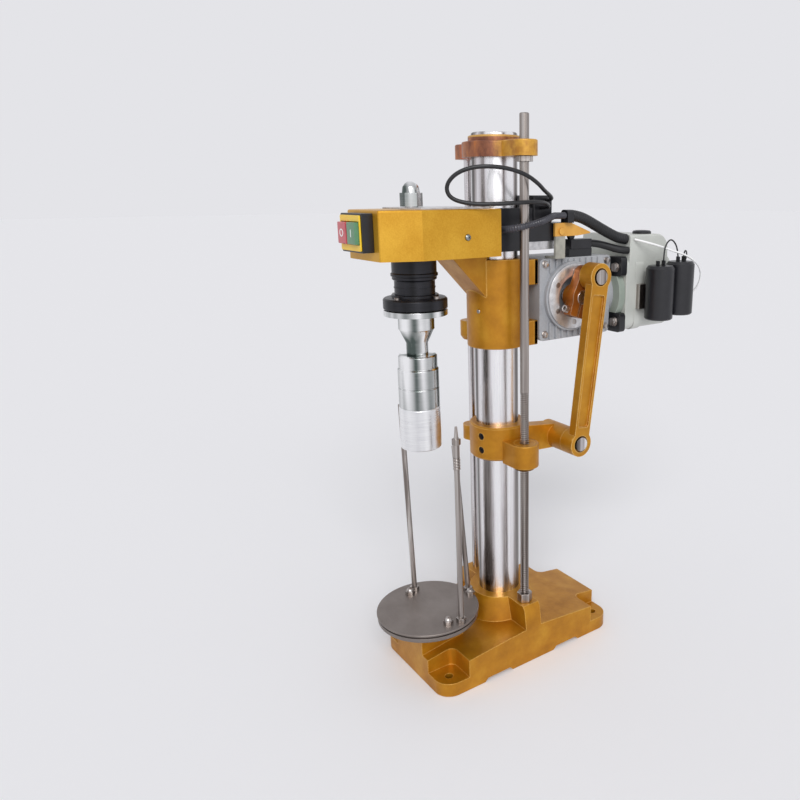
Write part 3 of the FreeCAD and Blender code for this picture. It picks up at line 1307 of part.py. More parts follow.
def make_rod():
    """The connecting rod between the crank pin and the collar's arm, with its two bearings."""
    inner = "crank_inner_x + crank_thick + rod_gap"
    outer = inner + " + rod_eye_length"
    rest = math.radians(value("crank_rest"))
    top_y = value("output_y") + value("crank_radius") * math.sin(rest)
    top_z = value("output_z") + value("crank_radius") * math.cos(rest)
    drop_y = top_y - value("link_pin_y")
    drop_z = top_z - value("link_pin_z")
    length = math.hypot(drop_y, drop_z)
    tilt = -math.degrees(math.atan2(drop_y, drop_z))
    print("rod length", round(length, 3), "tilt", round(tilt, 3), "crank pin", round(top_y, 3), round(top_z, 3))
    eyes = []
    bores = []
    races = []
    for number, level in enumerate((0, -length), start=1):
        eyes.append(cylinder("rod_eye_%d" % number, "rod_eye_dia / 2", "rod_eye_length", inner, 0, level, "X"))
        bores.append(cylinder("rod_bore_%d" % number, "bearing_dia / 2 + seat_gap", 60, inner + " - 20", 0, level, "X"))
        ring = cylinder("rod_race_%d" % number, "bearing_dia / 2", "rod_eye_length - 4", inner + " + 2", 0, level, "X")
        hole = cylinder("race_hole_%d" % number, "crank_pin_dia / 2 + run_gap", 60, inner + " - 20", 0, level, "X")
        races.append(cut("rod_bearing_%d" % number, ring, hole))
    web_low = outer + " - rod_web_thick"
    web = plate("rod_web", "side", [
        ("-rod_web_top / 2", 0), ("-rod_web_foot / 2", -length), ("rod_web_foot / 2", -length), ("rod_web_top / 2", 0),
    ], web_low, outer)
    trough = plate("rod_trough", "side", [
        ("-rod_web_top / 2 + rod_rim", "-rod_eye_dia / 2 - 6"), ("-rod_web_foot / 2 + rod_rim", "%s + rod_eye_dia / 2 + 6" % -length),
        ("rod_web_foot / 2 - rod_rim", "%s + rod_eye_dia / 2 + 6" % -length), ("rod_web_top / 2 - rod_rim", "-rod_eye_dia / 2 - 6"),
    ], outer + " - rod_recess", outer + " + 1")
    trough = eased("rod_trough_eased", trough, "4", lengthways)
    body = cut("rod_bored", join("rod_body", web, *eyes), trough, *bores)
    node("connecting_rod", swing(body, tilt, (top_y, top_z)))
    node("rod_bearings", swing(group("rod_bearing_pair", *races), tilt, (top_y, top_z)))
    pin = cylinder("link_pin_bar", "crank_pin_dia / 2", "rod_eye_length", inner, "link_pin_y", "link_pin_z", "X")
    washer = cylinder("link_pin_washer", "crank_pin_dia / 2 + 3", 1.5, outer, "link_pin_y", "link_pin_z", "X")
    node("link_pin", join("link_pin_body", pin, washer))


make_base()
make_column()
make_top_ring()
make_rods()
make_platform()
make_post_tip()
make_collar()
make_head_casting()
head_screws = make_cover()
make_spindle_support()
make_spindle()
make_belt_drive()
head_screws += make_gearbox()
head_screws += make_lift_motor()
node("head_fasteners", group("head_fastener_set", *head_screws))
make_capacitors()
make_limit_switch()
make_nose_switch()
make_crank()
make_rod()
tube("hose_front", HOSE_FRONT_ROUTE, "hose_front_dia")
tube("hose_rear", HOSE_REAR_ROUTE, "hose_rear_dia")
tube("hose_branch", HOSE_BRANCH_ROUTE, "hose_branch_dia")
tube("cable_loop", CABLE_ROUTE, "cable_dia")
tube("white_lead", LEAD_ROUTE, "lead_dia")
doc.recompute()

for thing in doc.Objects:
    if "Invalid" in thing.State or "Error" in thing.State:
        raise RuntimeError("%s failed: %s" % (thing.Name, thing.State))
os.makedirs("parts", exist_ok=True)
for label, thing in nodes.items():
    if thing.Shape.isNull() or not thing.Shape.isValid() or not thing.Shape.Solids:
        raise RuntimeError("%s has no valid solid" % label)
    thing.Shape.exportStep(os.path.join("parts", label + ".step"))
print(len(nodes), "nodes written")
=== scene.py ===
import bmesh
import bpy
import json
import math
from mathutils import Euler, Matrix, Vector


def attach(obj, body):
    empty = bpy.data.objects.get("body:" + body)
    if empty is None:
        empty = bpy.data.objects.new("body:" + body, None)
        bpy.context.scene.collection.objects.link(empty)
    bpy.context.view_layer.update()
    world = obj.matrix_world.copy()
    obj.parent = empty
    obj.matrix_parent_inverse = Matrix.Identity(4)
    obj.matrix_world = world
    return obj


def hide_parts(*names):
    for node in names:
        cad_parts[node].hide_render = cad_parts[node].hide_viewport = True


# The looks of a bench cap sealing machine: painted castings and folded sheet, polished and turned
# steel, a worm gearbox with its motor, hoses and leads, and the light that they stand in.

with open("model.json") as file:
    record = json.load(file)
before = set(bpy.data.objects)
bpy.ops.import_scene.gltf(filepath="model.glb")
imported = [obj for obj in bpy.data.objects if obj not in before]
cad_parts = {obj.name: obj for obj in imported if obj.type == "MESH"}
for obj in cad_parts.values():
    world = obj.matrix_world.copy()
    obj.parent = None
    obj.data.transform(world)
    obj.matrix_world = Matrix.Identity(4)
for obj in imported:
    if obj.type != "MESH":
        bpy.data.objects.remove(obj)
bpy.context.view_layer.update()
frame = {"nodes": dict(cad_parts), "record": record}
MM = 0.001
UP = Vector((0, 0, 1))
ALONG_X = Vector((1, 0, 0))
ALONG_Y = Vector((0, 1, 0))

# Places in the shared frame, in millimetres. The column's axis is the frame's Z axis.
SPINDLE_Y = -124.5
SCREW_X = 63.6
COLUMN_RADIUS = 30
COVER_HALF = 57
COVER_SCREW_Y = -81
GEARBOX_HALF = 38
GEARBOX_Y = 100
GEARBOX_Z = 520
FLANGE_Z = 515


# Camera and cords

CAMERA_SPOT = (0.80887, -0.57403, 0.65745)
CAMERA_LENS = 32.71
CAMERA_SHIFT = -0.1494
CAMERA_DOWN = 15.832
CAMERA_ROUND = 52.798
CAMERA_ROLL = -0.145


def place_camera():
    """The photograph's view: from the front right, a little above the machine's middle."""
    data = bpy.data.cameras.new("photo_camera")
    data.lens = CAMERA_LENS
    data.sensor_width = 36
    data.shift_x = CAMERA_SHIFT
    data.clip_start = 0.05
    data.clip_end = 60
    camera = bpy.data.objects.new("photo_camera", data)
    camera.location = CAMERA_SPOT
    turn = Euler((math.radians(90 - CAMERA_DOWN), 0, math.radians(CAMERA_ROUND))).to_matrix()
    roll = Matrix.Rotation(math.radians(CAMERA_ROLL), 3, "Z")
    camera.rotation_euler = (turn @ roll).to_euler()
    bpy.context.scene.collection.objects.link(camera)
    bpy.context.scene.camera = camera


HOSE_FRONT = [
    (42.4, -20, 614), (60, -19, 615), (74, -8, 618.5), (79.5, 9.5, 622.5), (77, 27, 626.5),
    (67.5, 42.5, 629.5), (57, 55, 630), (50.5, 66.5, 629.5), (49.4, 79.5, 629.5),
]
HOSE_REAR = [
    (47.3, 92, 629.5), (47.3, 105, 628), (47.1, 121, 622.5), (46.7, 138, 615), (46.2, 156, 607.2),
    (45.6, 173, 600.3), (45.1, 187, 595.8), (45, 198.7, 594.2),
]
HOSE_BRANCH = [
    (31, 139, 590.6), (32.5, 152, 589.6), (38, 166, 586), (45, 179, 581.5), (49.5, 189.5, 579),
    (50.5, 199, 578.4),
]
CABLE_LOOP = [
    (27.3, 65, 649), (45, 61, 650.5), (58, 47, 655), (73, 25, 661), (84, 7, 669), (86, -12, 679),
    (83, -34, 686), (76, -57, 689), (63, -78, 688), (50.5, -94, 680), (43, -102, 666), (45, -97, 652),
    (57, -78, 646), (71, -53, 645.5), (81, -28, 647), (84.5, -3, 648), (78, 21, 647), (62, 40, 644),
    (46, 54.5, 640.5), (27.3, 56.5, 639.5),
]
WHITE_LEAD = [
    (55.2, 207, 594), (68, 219, 590), (79, 237, 584), (86, 256, 577), (89, 275, 572), (91, 295, 563.5),
    (90.5, 313, 551), (88, 320.5, 536), (82, 320.5, 519), (70, 314, 506), (58, 304, 500),
    (50, 292.6, 498),
]
JUMPER_WIRE = [
    (83.5, 240, 562), (83.5, 239.5, 576), (83.5, 244, 588), (83.2, 253, 594), (83, 262.5, 589),
    (83.2, 269, 579), (83.5, 271, 566),
]
TAIL_WIRE = [
    (83.5, 283, 566), (83.5, 284, 575), (80, 292, 576), (75, 300.5, 569), (69, 303, 555), (60, 300, 543),
    (50, 291, 538),
]


def line_points(name, route):
    """The points along one smooth line through the space of a hose or lead."""
    data = bpy.data.curves.new(name, "CURVE")
    data.dimensions = "3D"
    spline = data.splines.new("NURBS")
    spline.points.add(len(route) - 1)
    for point, spot in zip(spline.points, route):
        point.co = (spot[0] * MM, spot[1] * MM, spot[2] * MM, 1)
    spline.order_u = 3
    spline.use_endpoint_u = True
    spline.resolution_u = 12
    line = bpy.data.objects.new(name, data)
    bpy.context.scene.collection.objects.link(line)
    bpy.context.view_layer.update()
    graph = bpy.context.evaluated_depsgraph_get()
    mesh = bpy.data.meshes.new_from_object(line.evaluated_get(graph))
    points = [vertex.co.copy() for vertex in mesh.vertices]
    bpy.data.meshes.remove(mesh)
    bpy.data.objects.remove(line)
    bpy.data.curves.remove(data)
    return points


def cord_tube(name, points, diameter, pitch, depth):
    """A hose or lead along a line; a corrugated one has two rings on each crest and two in each valley."""
    spacing = pitch * MM / 4
    steps = []
    travelled = 0.0
    for a, b in zip(points, points[1:]):
        run = (b - a).length
        while run > 0 and len(steps) * spacing <= travelled + run:
            steps.append((a.lerp(b, (len(steps) * spacing - travelled) / run), (b - a).normalized()))
        travelled += run
    steps.append((points[-1], steps[-1][1]))
    form = bmesh.new()
    turn = UP.rotation_difference(steps[0][1])
    heading = steps[0][1]
    rings = []
    for number, (spot, way) in enumerate(steps):
        turn = heading.rotation_difference(way) @ turn
        heading = way
        radius = diameter * MM / 2 - (depth * MM if number % 4 in (0, 1) else 0)
        place = Matrix.Translation(spot) @ turn.to_matrix().to_4x4()
        made = bmesh.ops.create_circle(form, cap_ends=False, segments=20, radius=radius, matrix=place)
        rings.append(list({edge for vert in made["verts"] for edge in vert.link_edges}))
    for low, high in zip(rings, rings[1:]):
        bmesh.ops.bridge_loops(form, edges=low + high)
    bmesh.ops.holes_fill(form, edges=form.edges, sides=0)
    bmesh.ops.recalc_face_normals(form, faces=form.faces)
    mesh = bpy.data.meshes.new(name)
    form.to_mesh(mesh)
    form.free()
    for face in mesh.polygons:
        face.use_smooth = len(face.vertices) == 4
    piece = bpy.data.objects.new(name, mesh)
    bpy.context.scene.collection.objects.link(piece)
    return piece


def lay_cord(name, node, route, diameter, slot, pitch=6, depth=0):
    """A hose or lead that goes back into the machine, and its slot; it replaces its node, if it has one."""
    points = line_points(name + "_line", route)
    piece = cord_tube(name, points, diameter, pitch, depth)
    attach(piece, "head")
    if node:
        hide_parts(node)
    return piece, slot


place_camera()
CORDS = [
    lay_cord("corrugated_front_hose", "hose_front", HOSE_FRONT, 8.8, "hose_grey", 3.2, 0.9),
    lay_cord("corrugated_rear_hose", "hose_rear", HOSE_REAR, 15, "black_rubber", 3.6, 0.6),
    lay_cord("branch_hose", "hose_branch", HOSE_BRANCH, 10.5, "black_rubber"),
    lay_cord("looped_cable", "cable_loop", CABLE_LOOP, 5, "black_rubber"),
    lay_cord("free_white_lead", "white_lead", WHITE_LEAD, 3, "white_plastic"),
    lay_cord("capacitor_jumper", None, JUMPER_WIRE, 2.2, "black_rubber"),
    lay_cord("capacitor_tail", None, TAIL_WIRE, 2.2, "black_rubber"),
]


# Materials

def rgb(text):
    """An sRGB hex colour as linear light."""
    channels = [int(text[i:i + 2], 16) / 255 for i in (1, 3, 5)]
    return tuple(c / 12.92 if c <= 0.04045 else ((c + 0.055) / 1.055) ** 2.4 for c in channels) + (1.0,)


def add(tree, kind, settings=None, links=None):
    """A node with its settings, and with its sockets linked to others."""
    item = tree.nodes.new(kind)
    for key, content in (settings or {}).items():
        if isinstance(key, str) and hasattr(item, key):
            setattr(item, key, content)
        else:
            item.inputs[key].default_value = content
    for key, source in (links or {}).items():
        tree.links.new(source, item.inputs[key])
    return item


def start(name, settings):
    """A new material with its shader, and the point that its patterns read."""
    made = bpy.data.materials.new(name)
    made.use_nodes = True
    tree = made.node_tree
    tree.nodes.clear()
    shader = add(tree, "ShaderNodeBsdfPrincipled", settings)
    output = add(tree, "ShaderNodeOutputMaterial")
    tree.links.new(shader.outputs["BSDF"], output.inputs["Surface"])
    spot = add(tree, "ShaderNodeTexCoord").outputs["Object"]
    return made, tree, shader, spot


def ramp(tree, source, stops):
    """A colour ramp from (position, hex colour or grey level) stops."""
    item = add(tree, "ShaderNodeValToRGB", None, {"Fac": source})
    marks = item.color_ramp.elements
    while len(marks) < len(stops):
        marks.new(0.5)
    for mark, (position, colour) in zip(marks, stops):
        mark.position = position
        mark.color = rgb(colour) if isinstance(colour, str) else (colour, colour, colour, 1)
    return item.outputs["Color"]


def noise(tree, spot, size, detail=3.0, rough=0.6):
    """Cloudy noise whose patches are about as wide as a size in millimetres."""
    return add(tree, "ShaderNodeTexNoise", {"Scale": 1000 / size, "Detail": detail, "Roughness": rough},
               {"Vector": spot}).outputs["Fac"]


def stretched(tree, spot, scale, move=(0, 0, 0)):
    """The pattern's point, squeezed or moved."""
    mapping = add(tree, "ShaderNodeMapping", {"Scale": scale, "Location": move}, {"Vector": spot})
    return mapping.outputs["Vector"]


def maths(tree, operation, first, second=None, third=None):
    """The result of a calculation with sockets and numbers."""
    settings = {"operation": operation}
    links = {}
    for key, content in enumerate((first, second, third)):
        if isinstance(content, (int, float)):
            settings[key] = content
        elif content is not None:
            links[key] = content
    return add(tree, "ShaderNodeMath", settings, links).outputs["Value"]


def blended(tree, fine, share, broad):
    """A fine pattern laid over a broad one, as a share of it."""
    return maths(tree, "MULTIPLY_ADD", fine, share, broad)


def mixed(tree, factor, low, high):
    """Two colours, each a hex text or a socket, mixed by a mask."""
    item = add(tree, "ShaderNodeMix", {"data_type": "RGBA"}, {"Factor": factor})
    for socket, colour in ((item.inputs[6], low), (item.inputs[7], high)):
        if isinstance(colour, str):
            socket.default_value = rgb(colour)
        else:
            tree.links.new(colour, socket)
    return item.outputs[2]


def relief(tree, shader, height, strength, depth):
    """Raises the surface by a pattern, at most a depth in millimetres."""
    bump = add(tree, "ShaderNodeBump", {"Strength": strength, "Distance": depth * MM}, {"Height": height})
    tree.links.new(bump.outputs["Normal"], shader.inputs["Normal"])


def part_of(tree, spot, axis, low, high):
    """A mask that rises from nothing to full between two places along an axis, in millimetres."""
    split = add(tree, "ShaderNodeSeparateXYZ", None, {"Vector": spot})
    return add(tree, "ShaderNodeMapRange", {"From Min": low * MM, "From Max": high * MM},
               {"Value": split.outputs[axis]}).outputs["Result"]


def sharp_edge_mask(tree, width):
    """A mask that is high where the surface turns a sharp corner, where paint rubs off and where a painted
    highlight is laid.
    """
    soft = add(tree, "ShaderNodeBevel", {"samples": 4, "Radius": width * MM})
    plain = add(tree, "ShaderNodeNewGeometry")
    dot = add(tree, "ShaderNodeVectorMath", {"operation": "DOT_PRODUCT"},
              {0: soft.outputs["Normal"], 1: plain.outputs["Normal"]})
    return add(tree, "ShaderNodeMapRange", {"From Min": 0.995, "From Max": 0.90},
               {"Value": dot.outputs["Value"]}).outputs["Result"]


def enamel_on_casting(name, dark, middle, light, rubbed_edge_highlight="#E2B45E", grain=2.4, bump=0.35):
    """Gold hammer enamel, flecked with metal, over a sand casting: pits of 2 or 3 mm, and sharp edges lighter
    in spots, partly rubbed paint and partly a painted highlight.
    """
    made, tree, shader, spot = start(name, {"Metallic": 0.5, "Coat Weight": 0.06, "Coat Roughness": 0.25})
    cloud = noise(tree, spot, 40, 4.0)
    paint = ramp(tree, cloud, [(0.30, dark), (0.52, middle), (0.74, light)])
    chips = ramp(tree, noise(tree, spot, 4.2, 3.0, 0.7), [(0.30, 0.35), (0.58, 0.9)])
    # Sharp edges take the light colour in spots: partly rubbed paint, partly a painted highlight.
    edge_highlight_mask = maths(tree, "MULTIPLY", sharp_edge_mask(tree, 2.0), chips)
    tree.links.new(mixed(tree, edge_highlight_mask, paint, rubbed_edge_highlight), shader.inputs["Base Color"])
    tree.links.new(ramp(tree, cloud, [(0.3, 0.46), (0.7, 0.34)]), shader.inputs["Roughness"])
    relief(tree, shader, noise(tree, spot, grain * 2, 4.0, 0.55), bump, 0.6)
    return made


def worn_ring_enamel(name):
    """The same enamel after years of heat and hands: bare rust orange and brown, gold at the screw's end."""
    made, tree, shader, spot = start(name, {"Metallic": 0.25, "Coat Weight": 0.1, "Coat Roughness": 0.3})
    patch = noise(tree, stretched(tree, spot, (1, 1, 0.5)), 20, 4.0, 0.65)
    brown = ramp(tree, patch, [(0.36, "#6A3C28"), (0.50, "#8E5638"), (0.60, "#A5663A"), (0.68, "#BC6424")])
    gold = ramp(tree, noise(tree, spot, 14, 3.0), [(0.35, "#A87020"), (0.6, "#CE9A36")])
    screw_end = blended(tree, patch, 0.5, part_of(tree, spot, "X", 20, 60))
    colour = mixed(tree, ramp(tree, screw_end, [(0.55, 0.0), (0.75, 1.0)]), brown, gold)
    rust = maths(tree, "MULTIPLY", part_of(tree, spot, "X", -58, -50), part_of(tree, spot, "X", -26, -36))
    colour = mixed(tree, rust, colour, "#B8561A")
    rim = ramp(tree, part_of(tree, spot, "Z", 725.5, 727.5), [(0.4, 0.0), (0.6, 1.0)])
    tree.links.new(mixed(tree, rim, colour, "#C79A4E"), shader.inputs["Base Color"])
    tree.links.new(ramp(tree, patch, [(0.3, 0.5), (0.7, 0.34)]), shader.inputs["Roughness"])
    relief(tree, shader, patch, 0.3, 0.5)
    return made


def enamel_on_sheet(name, low, high, rough=0.3, fleck=0.0, metallic=0.0):
    """Sprayed enamel on folded sheet: an even coat with the faint ripple of orange peel."""
    settings = {"Metallic": metallic, "Roughness": rough, "Coat Weight": 0.1, "Coat Roughness": 0.2}
    made, tree, shader, spot = start(name, settings)
    both = blended(tree, noise(tree, spot, 1.8, 2.0, 0.5), fleck, noise(tree, spot, 60))
    middle = 0.5 + fleck / 2
    colour = ramp(tree, both, [(middle - 0.2, low), (middle + 0.2, high)])
    tree.links.new(colour, shader.inputs["Base Color"])
    relief(tree, shader, noise(tree, spot, 2.4, 2.0, 0.5), 0.12, 0.3)
    return made


def drawn_bar(name, tones, rough, band, bump=0.05):
    """Drawn and polished bar: dull and bright bands run its whole length, under fine lengthwise lines; on the
    column's tube these bands are painted reflections.
    """
    made, tree, shader, spot = start(name, {"Metallic": 1.0})
    # Broad lengthwise bands of tone; on the column's tube they are painted reflections.
    bands = noise(tree, stretched(tree, spot, (1, 1, 0.012)), band, 2.0, 0.5)
    lines = noise(tree, stretched(tree, spot, (1, 1, 0.02)), 1.2, 2.0, 0.6)
    spread = [(0.40 + 0.34 * number / (len(tones) - 1), tone) for number, tone in enumerate(tones)]
    tree.links.new(ramp(tree, blended(tree, lines, 0.16, bands), spread), shader.inputs["Base Color"])
    tree.links.new(ramp(tree, lines, [(0.3, rough), (0.7, rough + 0.1)]), shader.inputs["Roughness"])
    relief(tree, shader, lines, bump, 0.1)
    return made


def turned_metal(name, low, high, rough, metallic=1.0, bump=0.1, line=1.1, share=0.35):
    """Turned steel: tool marks run round the piece about a millimetre apart, over long polished bands."""
    made, tree, shader, spot = start(name, {"Metallic": metallic})
    marks = noise(tree, stretched(tree, spot, (0.05, 0.05, 1)), line, 3.0)
    bands = noise(tree, stretched(tree, spot, (1, 1, 0.05)), 16, 1.0, 0.5)
    both = blended(tree, marks, share, bands)
    middle = 0.49 + share / 2
    colour = ramp(tree, both, [(middle - 0.16, low), (middle + 0.16, high)])
    tree.links.new(colour, shader.inputs["Base Color"])
    tree.links.new(ramp(tree, marks, [(0.3, rough), (0.7, rough + 0.08)]), shader.inputs["Roughness"])
    relief(tree, shader, marks, bump, 0.08)
    return made


def rolled_plate(name, low, high, rough, grain=26):
    """Rolled plate, cleaned with a brush: soft stains over short scratches, half dull and half bright."""
    made, tree, shader, spot = start(name, {"Metallic": 0.85, "Roughness": rough})
    stain = noise(tree, spot, grain, 4.0)
    scratch = noise(tree, stretched(tree, spot, (0.08, 1, 1)), 1.4, 3.0)
    colour = ramp(tree, blended(tree, scratch, 0.2, stain), [(0.42, low), (0.78, high)])
    tree.links.new(colour, shader.inputs["Base Color"])
    relief(tree, shader, scratch, 0.12, 0.1)
    return made


def moulded(name, low, high, rough, grain=0.9, bump=0.15, coat=0.0):
    """Moulded plastic or rubber: an even colour under a fine spark-eroded grain."""
    made, tree, shader, spot = start(name, {"Roughness": rough, "Coat Weight": coat, "Coat Roughness": 0.1})
    tree.links.new(ramp(tree, noise(tree, spot, 25), [(0.3, low), (0.7, high)]), shader.inputs["Base Color"])
    relief(tree, shader, noise(tree, spot, grain * 2, 2.0), bump, 0.15)
    return made


def two_tone_flange(name):
    """The motor's flange: grey green enamel between four corner lobes that are blackened."""
    lobe_from = 26.5
    made, tree, shader, spot = start(name, {"Roughness": 0.38})
    centred = stretched(tree, spot, (1, 1, 1), (0, 0, -FLANGE_Z * MM))
    split = add(tree, "ShaderNodeSeparateXYZ", None, {"Vector": centred})
    masks = []
    for axis in ("X", "Z"):
        reach = maths(tree, "ABSOLUTE", split.outputs[axis])
        masks.append(maths(tree, "GREATER_THAN", reach, lobe_from * MM))
    lobe = maths(tree, "MULTIPLY", masks[0], masks[1])
    enamel = ramp(tree, noise(tree, spot, 30), [(0.3, "#8B958C"), (0.7, "#9DA69C")])
    tree.links.new(mixed(tree, lobe, enamel, "#17181B"), shader.inputs["Base Color"])
    relief(tree, shader, noise(tree, spot, 3), 0.15, 0.3)
    return made


def bracket_finish(name):
    """Folded bracket on its strap: ochre enamel above, bare zinc on the strap below."""
    made, tree, shader, spot = start(name, {"Roughness": 0.38})
    bare = ramp(tree, noise(tree, spot, 12), [(0.3, "#8D8C84"), (0.7, "#A9A79D")])
    enamel = ramp(tree, noise(tree, spot, 30), [(0.3, "#C98F34"), (0.7, "#DBA44A")])
    strap_top = 602.5
    above = ramp(tree, part_of(tree, spot, "Z", strap_top - 0.2, strap_top + 0.2), [(0.4, 0.0), (0.6, 1.0)])
    tree.links.new(mixed(tree, above, bare, enamel), shader.inputs["Base Color"])
    relief(tree, shader, noise(tree, spot, 2.4), 0.12, 0.3)
    return made


# The column tube's tones, near black to near white, make lengthwise bands of painted reflection.
TUBE_REFLECTION_TONES = ["#3C3937", "#6C6663", "#A29C9A", "#D9D5D7", "#F8F7F8"]
FINISHES = {
    "casting_paint": enamel_on_casting("gold_enamel_on_iron", "#A0680A", "#B47A12", "#C48E22"),
    "cover_paint": enamel_on_sheet("gold_enamel_on_sheet", "#C08A14", "#D4A22E", 0.36, 0.5, 0.5),
    "ring_paint": worn_ring_enamel("worn_enamel_on_ring"),
    "ground_steel": drawn_bar("steel_tube_painted_reflections", TUBE_REFLECTION_TONES, 0.2, 17, 0.02),
    "disc_steel": rolled_plate("brushed_steel_plate", "#7B726D", "#8D8580", 0.42, 60),
    "zinc_steel": drawn_bar("zinc_plated_steel", ["#7C746F", "#9F9792", "#C9C4C0"], 0.3, 5),
    "bright_chrome": turned_metal("polished_turned_steel", "#56605C", "#FFFFFF", 0.12, 1.0, 0.02, 0.9, 0.06),
    "cup_aluminium": turned_metal("turned_aluminium", "#DDDDDF", "#FFFFFF", 0.26, bump=0.3, line=1.6),
    "plate_aluminium": rolled_plate("milled_aluminium", "#B7B6B7", "#E4E3E4", 0.3, 12),
    "gearbox_paint": enamel_on_sheet("grey_sprayed_die_casting", "#8E9095", "#A9ABAF", 0.42, 0.4),
    "motor_paint": enamel_on_sheet("grey_green_enamel", "#B4B7B2", "#C5C7C2", 0.4),
    "black_steel": turned_metal("blackened_steel", "#0E0E11", "#2A2A2F", 0.32, 0.5),
    "black_plastic": moulded("black_abs", "#111115", "#1B1B20", 0.34),
    "black_rubber": moulded("black_rubber_skin", "#0F0F11", "#1A1A1D", 0.42),
    "hose_grey": moulded("corrugated_conduit", "#2C2C33", "#484850", 0.3),
    "dark_bronze": turned_metal("oiled_bronze", "#5A3E22", "#8C6A3C", 0.35),
    # The forging's last colour is its light edge colour, partly rubbed paint and partly a painted highlight.
    "crank_steel": enamel_on_casting("worn_enamel_on_forging", "#7E4312", "#A85F1A", "#BC7A2C", "#B9A58C"),
    "bracket_paint": bracket_finish("bracket_on_strap"),
    "frame_yellow": moulded("yellow_abs", "#EDBE12", "#F5CC26", 0.3, 0.6, 0.05, 0.3),
    "button_red": moulded("red_abs", "#B2404A", "#C0525A", 0.28, 0.6, 0.05, 0.4),
    "button_green": moulded("green_abs", "#4A7A56", "#5C8C68", 0.28, 0.6, 0.05, 0.4),
    "white_plastic": moulded("white_nylon", "#DCDCDE", "#F2F2F2", 0.35, 0.6, 0.05),
}
FLANGE_FINISH = two_tone_flange("motor_flange_enamel")
# The rod's last colour is its light edge colour, a painted highlight on its ridges and partly rubbed paint.
ROD_FINISH = enamel_on_casting("gold_enamel_on_rod", "#AC7410", "#BC8218", "#CC9628", "#EBCB84")
SLOT_OF = {row["node"]: row["material_slot"] for row in frame["record"]["subparts"]}
BODY_OF = {node: body for body, members in frame["record"]["behaviour"]["bodies"].items() for node in members}


# Shapes

def finish_piece(piece, slot, finish=None):
    """Gives a piece the finish of its slot, or the finish that it is handed."""
    piece.data.materials.clear()
    piece.data.materials.append(finish or FINISHES[slot])


def shade_by_angle(mesh):
    """Smooth faces that keep the creases sharper than 32 degrees."""
    form = bmesh.new()
    form.from_mesh(mesh)
    limit = math.radians(32)
    for face in form.faces:
        face.smooth = True
    for edge in form.edges:
        edge.smooth = len(edge.link_faces) == 2 and edge.calc_face_angle(0) < limit
    form.to_mesh(mesh)
    form.free()


def rounded(piece, width):
    """Rounds the piece's corners as the real one's are, in millimetres."""
    bevel = piece.modifiers.new("rounded", "BEVEL")
    bevel.width = width * MM
    bevel.segments = 2
    bevel.limit_method = "ANGLE"
    bevel.angle_limit = math.radians(35)
    bevel.harden_normals = True


def softened(node, width):
    """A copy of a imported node, reshaped where the photograph asks for it, with its corners rounded."""
    weld = 0.02 * MM
    form = bmesh.new()
    form.from_mesh(frame["nodes"][node].data)
    bmesh.ops.remove_doubles(form, verts=form.verts, dist=weld)
    for change in RESHAPED.get(node, []):
        change(form)
    bmesh.ops.dissolve_degenerate(form, dist=weld, edges=form.edges)
    bmesh.ops.dissolve_limit(form, angle_limit=math.radians(0.6), verts=form.verts, edges=form.edges)
    mesh = bpy.data.meshes.new(node + "_dressed")
    form.to_mesh(mesh)
    form.free()
    shade_by_angle(mesh)
    piece = bpy.data.objects.new(node + "_dressed", mesh)
    bpy.context.scene.collection.objects.link(piece)
    if width:
        rounded(piece, width)
    finish_piece(piece, OWN_SLOT.get(node, SLOT_OF[node]), OWN_FINISH.get(node))
    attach(piece, BODY_OF[node])
    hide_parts(node)
    return piece


def inside(form, low, high):
    """The points of a form between two corners in millimetres."""
    return [vert for vert in form.verts
            if all(a * MM <= c <= b * MM for a, c, b in zip(low, vert.co, high))]


def moved(low, high, by):
    """A change that moves the points between two corners, in millimetres."""
    return lambda form: bmesh.ops.translate(form, verts=inside(form, low, high), vec=Vector(by) * MM)


def removed(low, high):
    """A change that takes away what lies between two corners, in millimetres."""
    return lambda form: bmesh.ops.delete(form, geom=inside(form, low, high), context="VERTS")


def drawn_in(form):
    """A change that makes the collar's wall thinner, the more so the further it is from the lead screw."""
    outside = (40.5 * MM, 45 * MM)
    most = 4.5 * MM
    for vert in form.verts:
        radius = math.hypot(vert.co.x, vert.co.y)
        if outside[0] < radius < outside[1]:
            share = min(max((30 * MM - vert.co.x) / (40 * MM), 0), 1)
            slimmer = (radius - most * share) / radius
            vert.co.x *= slimmer
            vert.co.y *= slimmer


def closed_holes(form):
    """A change that closes the open edges that a removal left."""
    bmesh.ops.holes_fill(form, edges=[edge for edge in form.edges if edge.is_boundary], sides=0)


def new_piece(name, form, slot, body):
    """An object from a finished bmesh in metres."""
    bmesh.ops.recalc_face_normals(form, faces=form.faces)
    mesh = bpy.data.meshes.new(name)
    form.to_mesh(mesh)
    form.free()
    shade_by_angle(mesh)
    piece = bpy.data.objects.new(name, mesh)
    bpy.context.scene.collection.objects.link(piece)
    finish_piece(piece, slot)
    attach(piece, body)
    return piece


def placed(centre, axis):
    """The matrix that takes a shape from the Z axis to an axis through a centre in millimetres."""
    turn = UP.rotation_difference(Vector(axis).normalized()).to_matrix().to_4x4()
    return Matrix.Translation(Vector(centre) * MM) @ turn


def turn_profile(form, profile, centre, axis=UP, steps=64):
    """Adds a lathe shape: the (radius, height) profile in millimetres makes a full turn about an axis."""
    shape = bmesh.new()
    verts = [shape.verts.new((radius * MM, 0, height * MM)) for radius, height in profile]
    edges = [shape.edges.new(pair) for pair in zip(verts, verts[1:])]
    bmesh.ops.spin(shape, geom=verts + edges, axis=UP, cent=(0, 0, 0), angle=2 * math.pi, steps=steps,
                   use_merge=True)
    bmesh.ops.remove_doubles(shape, verts=shape.verts, dist=0.001 * MM)
    bmesh.ops.transform(shape, matrix=placed(centre, axis), verts=shape.verts)
    merge_in(form, shape)


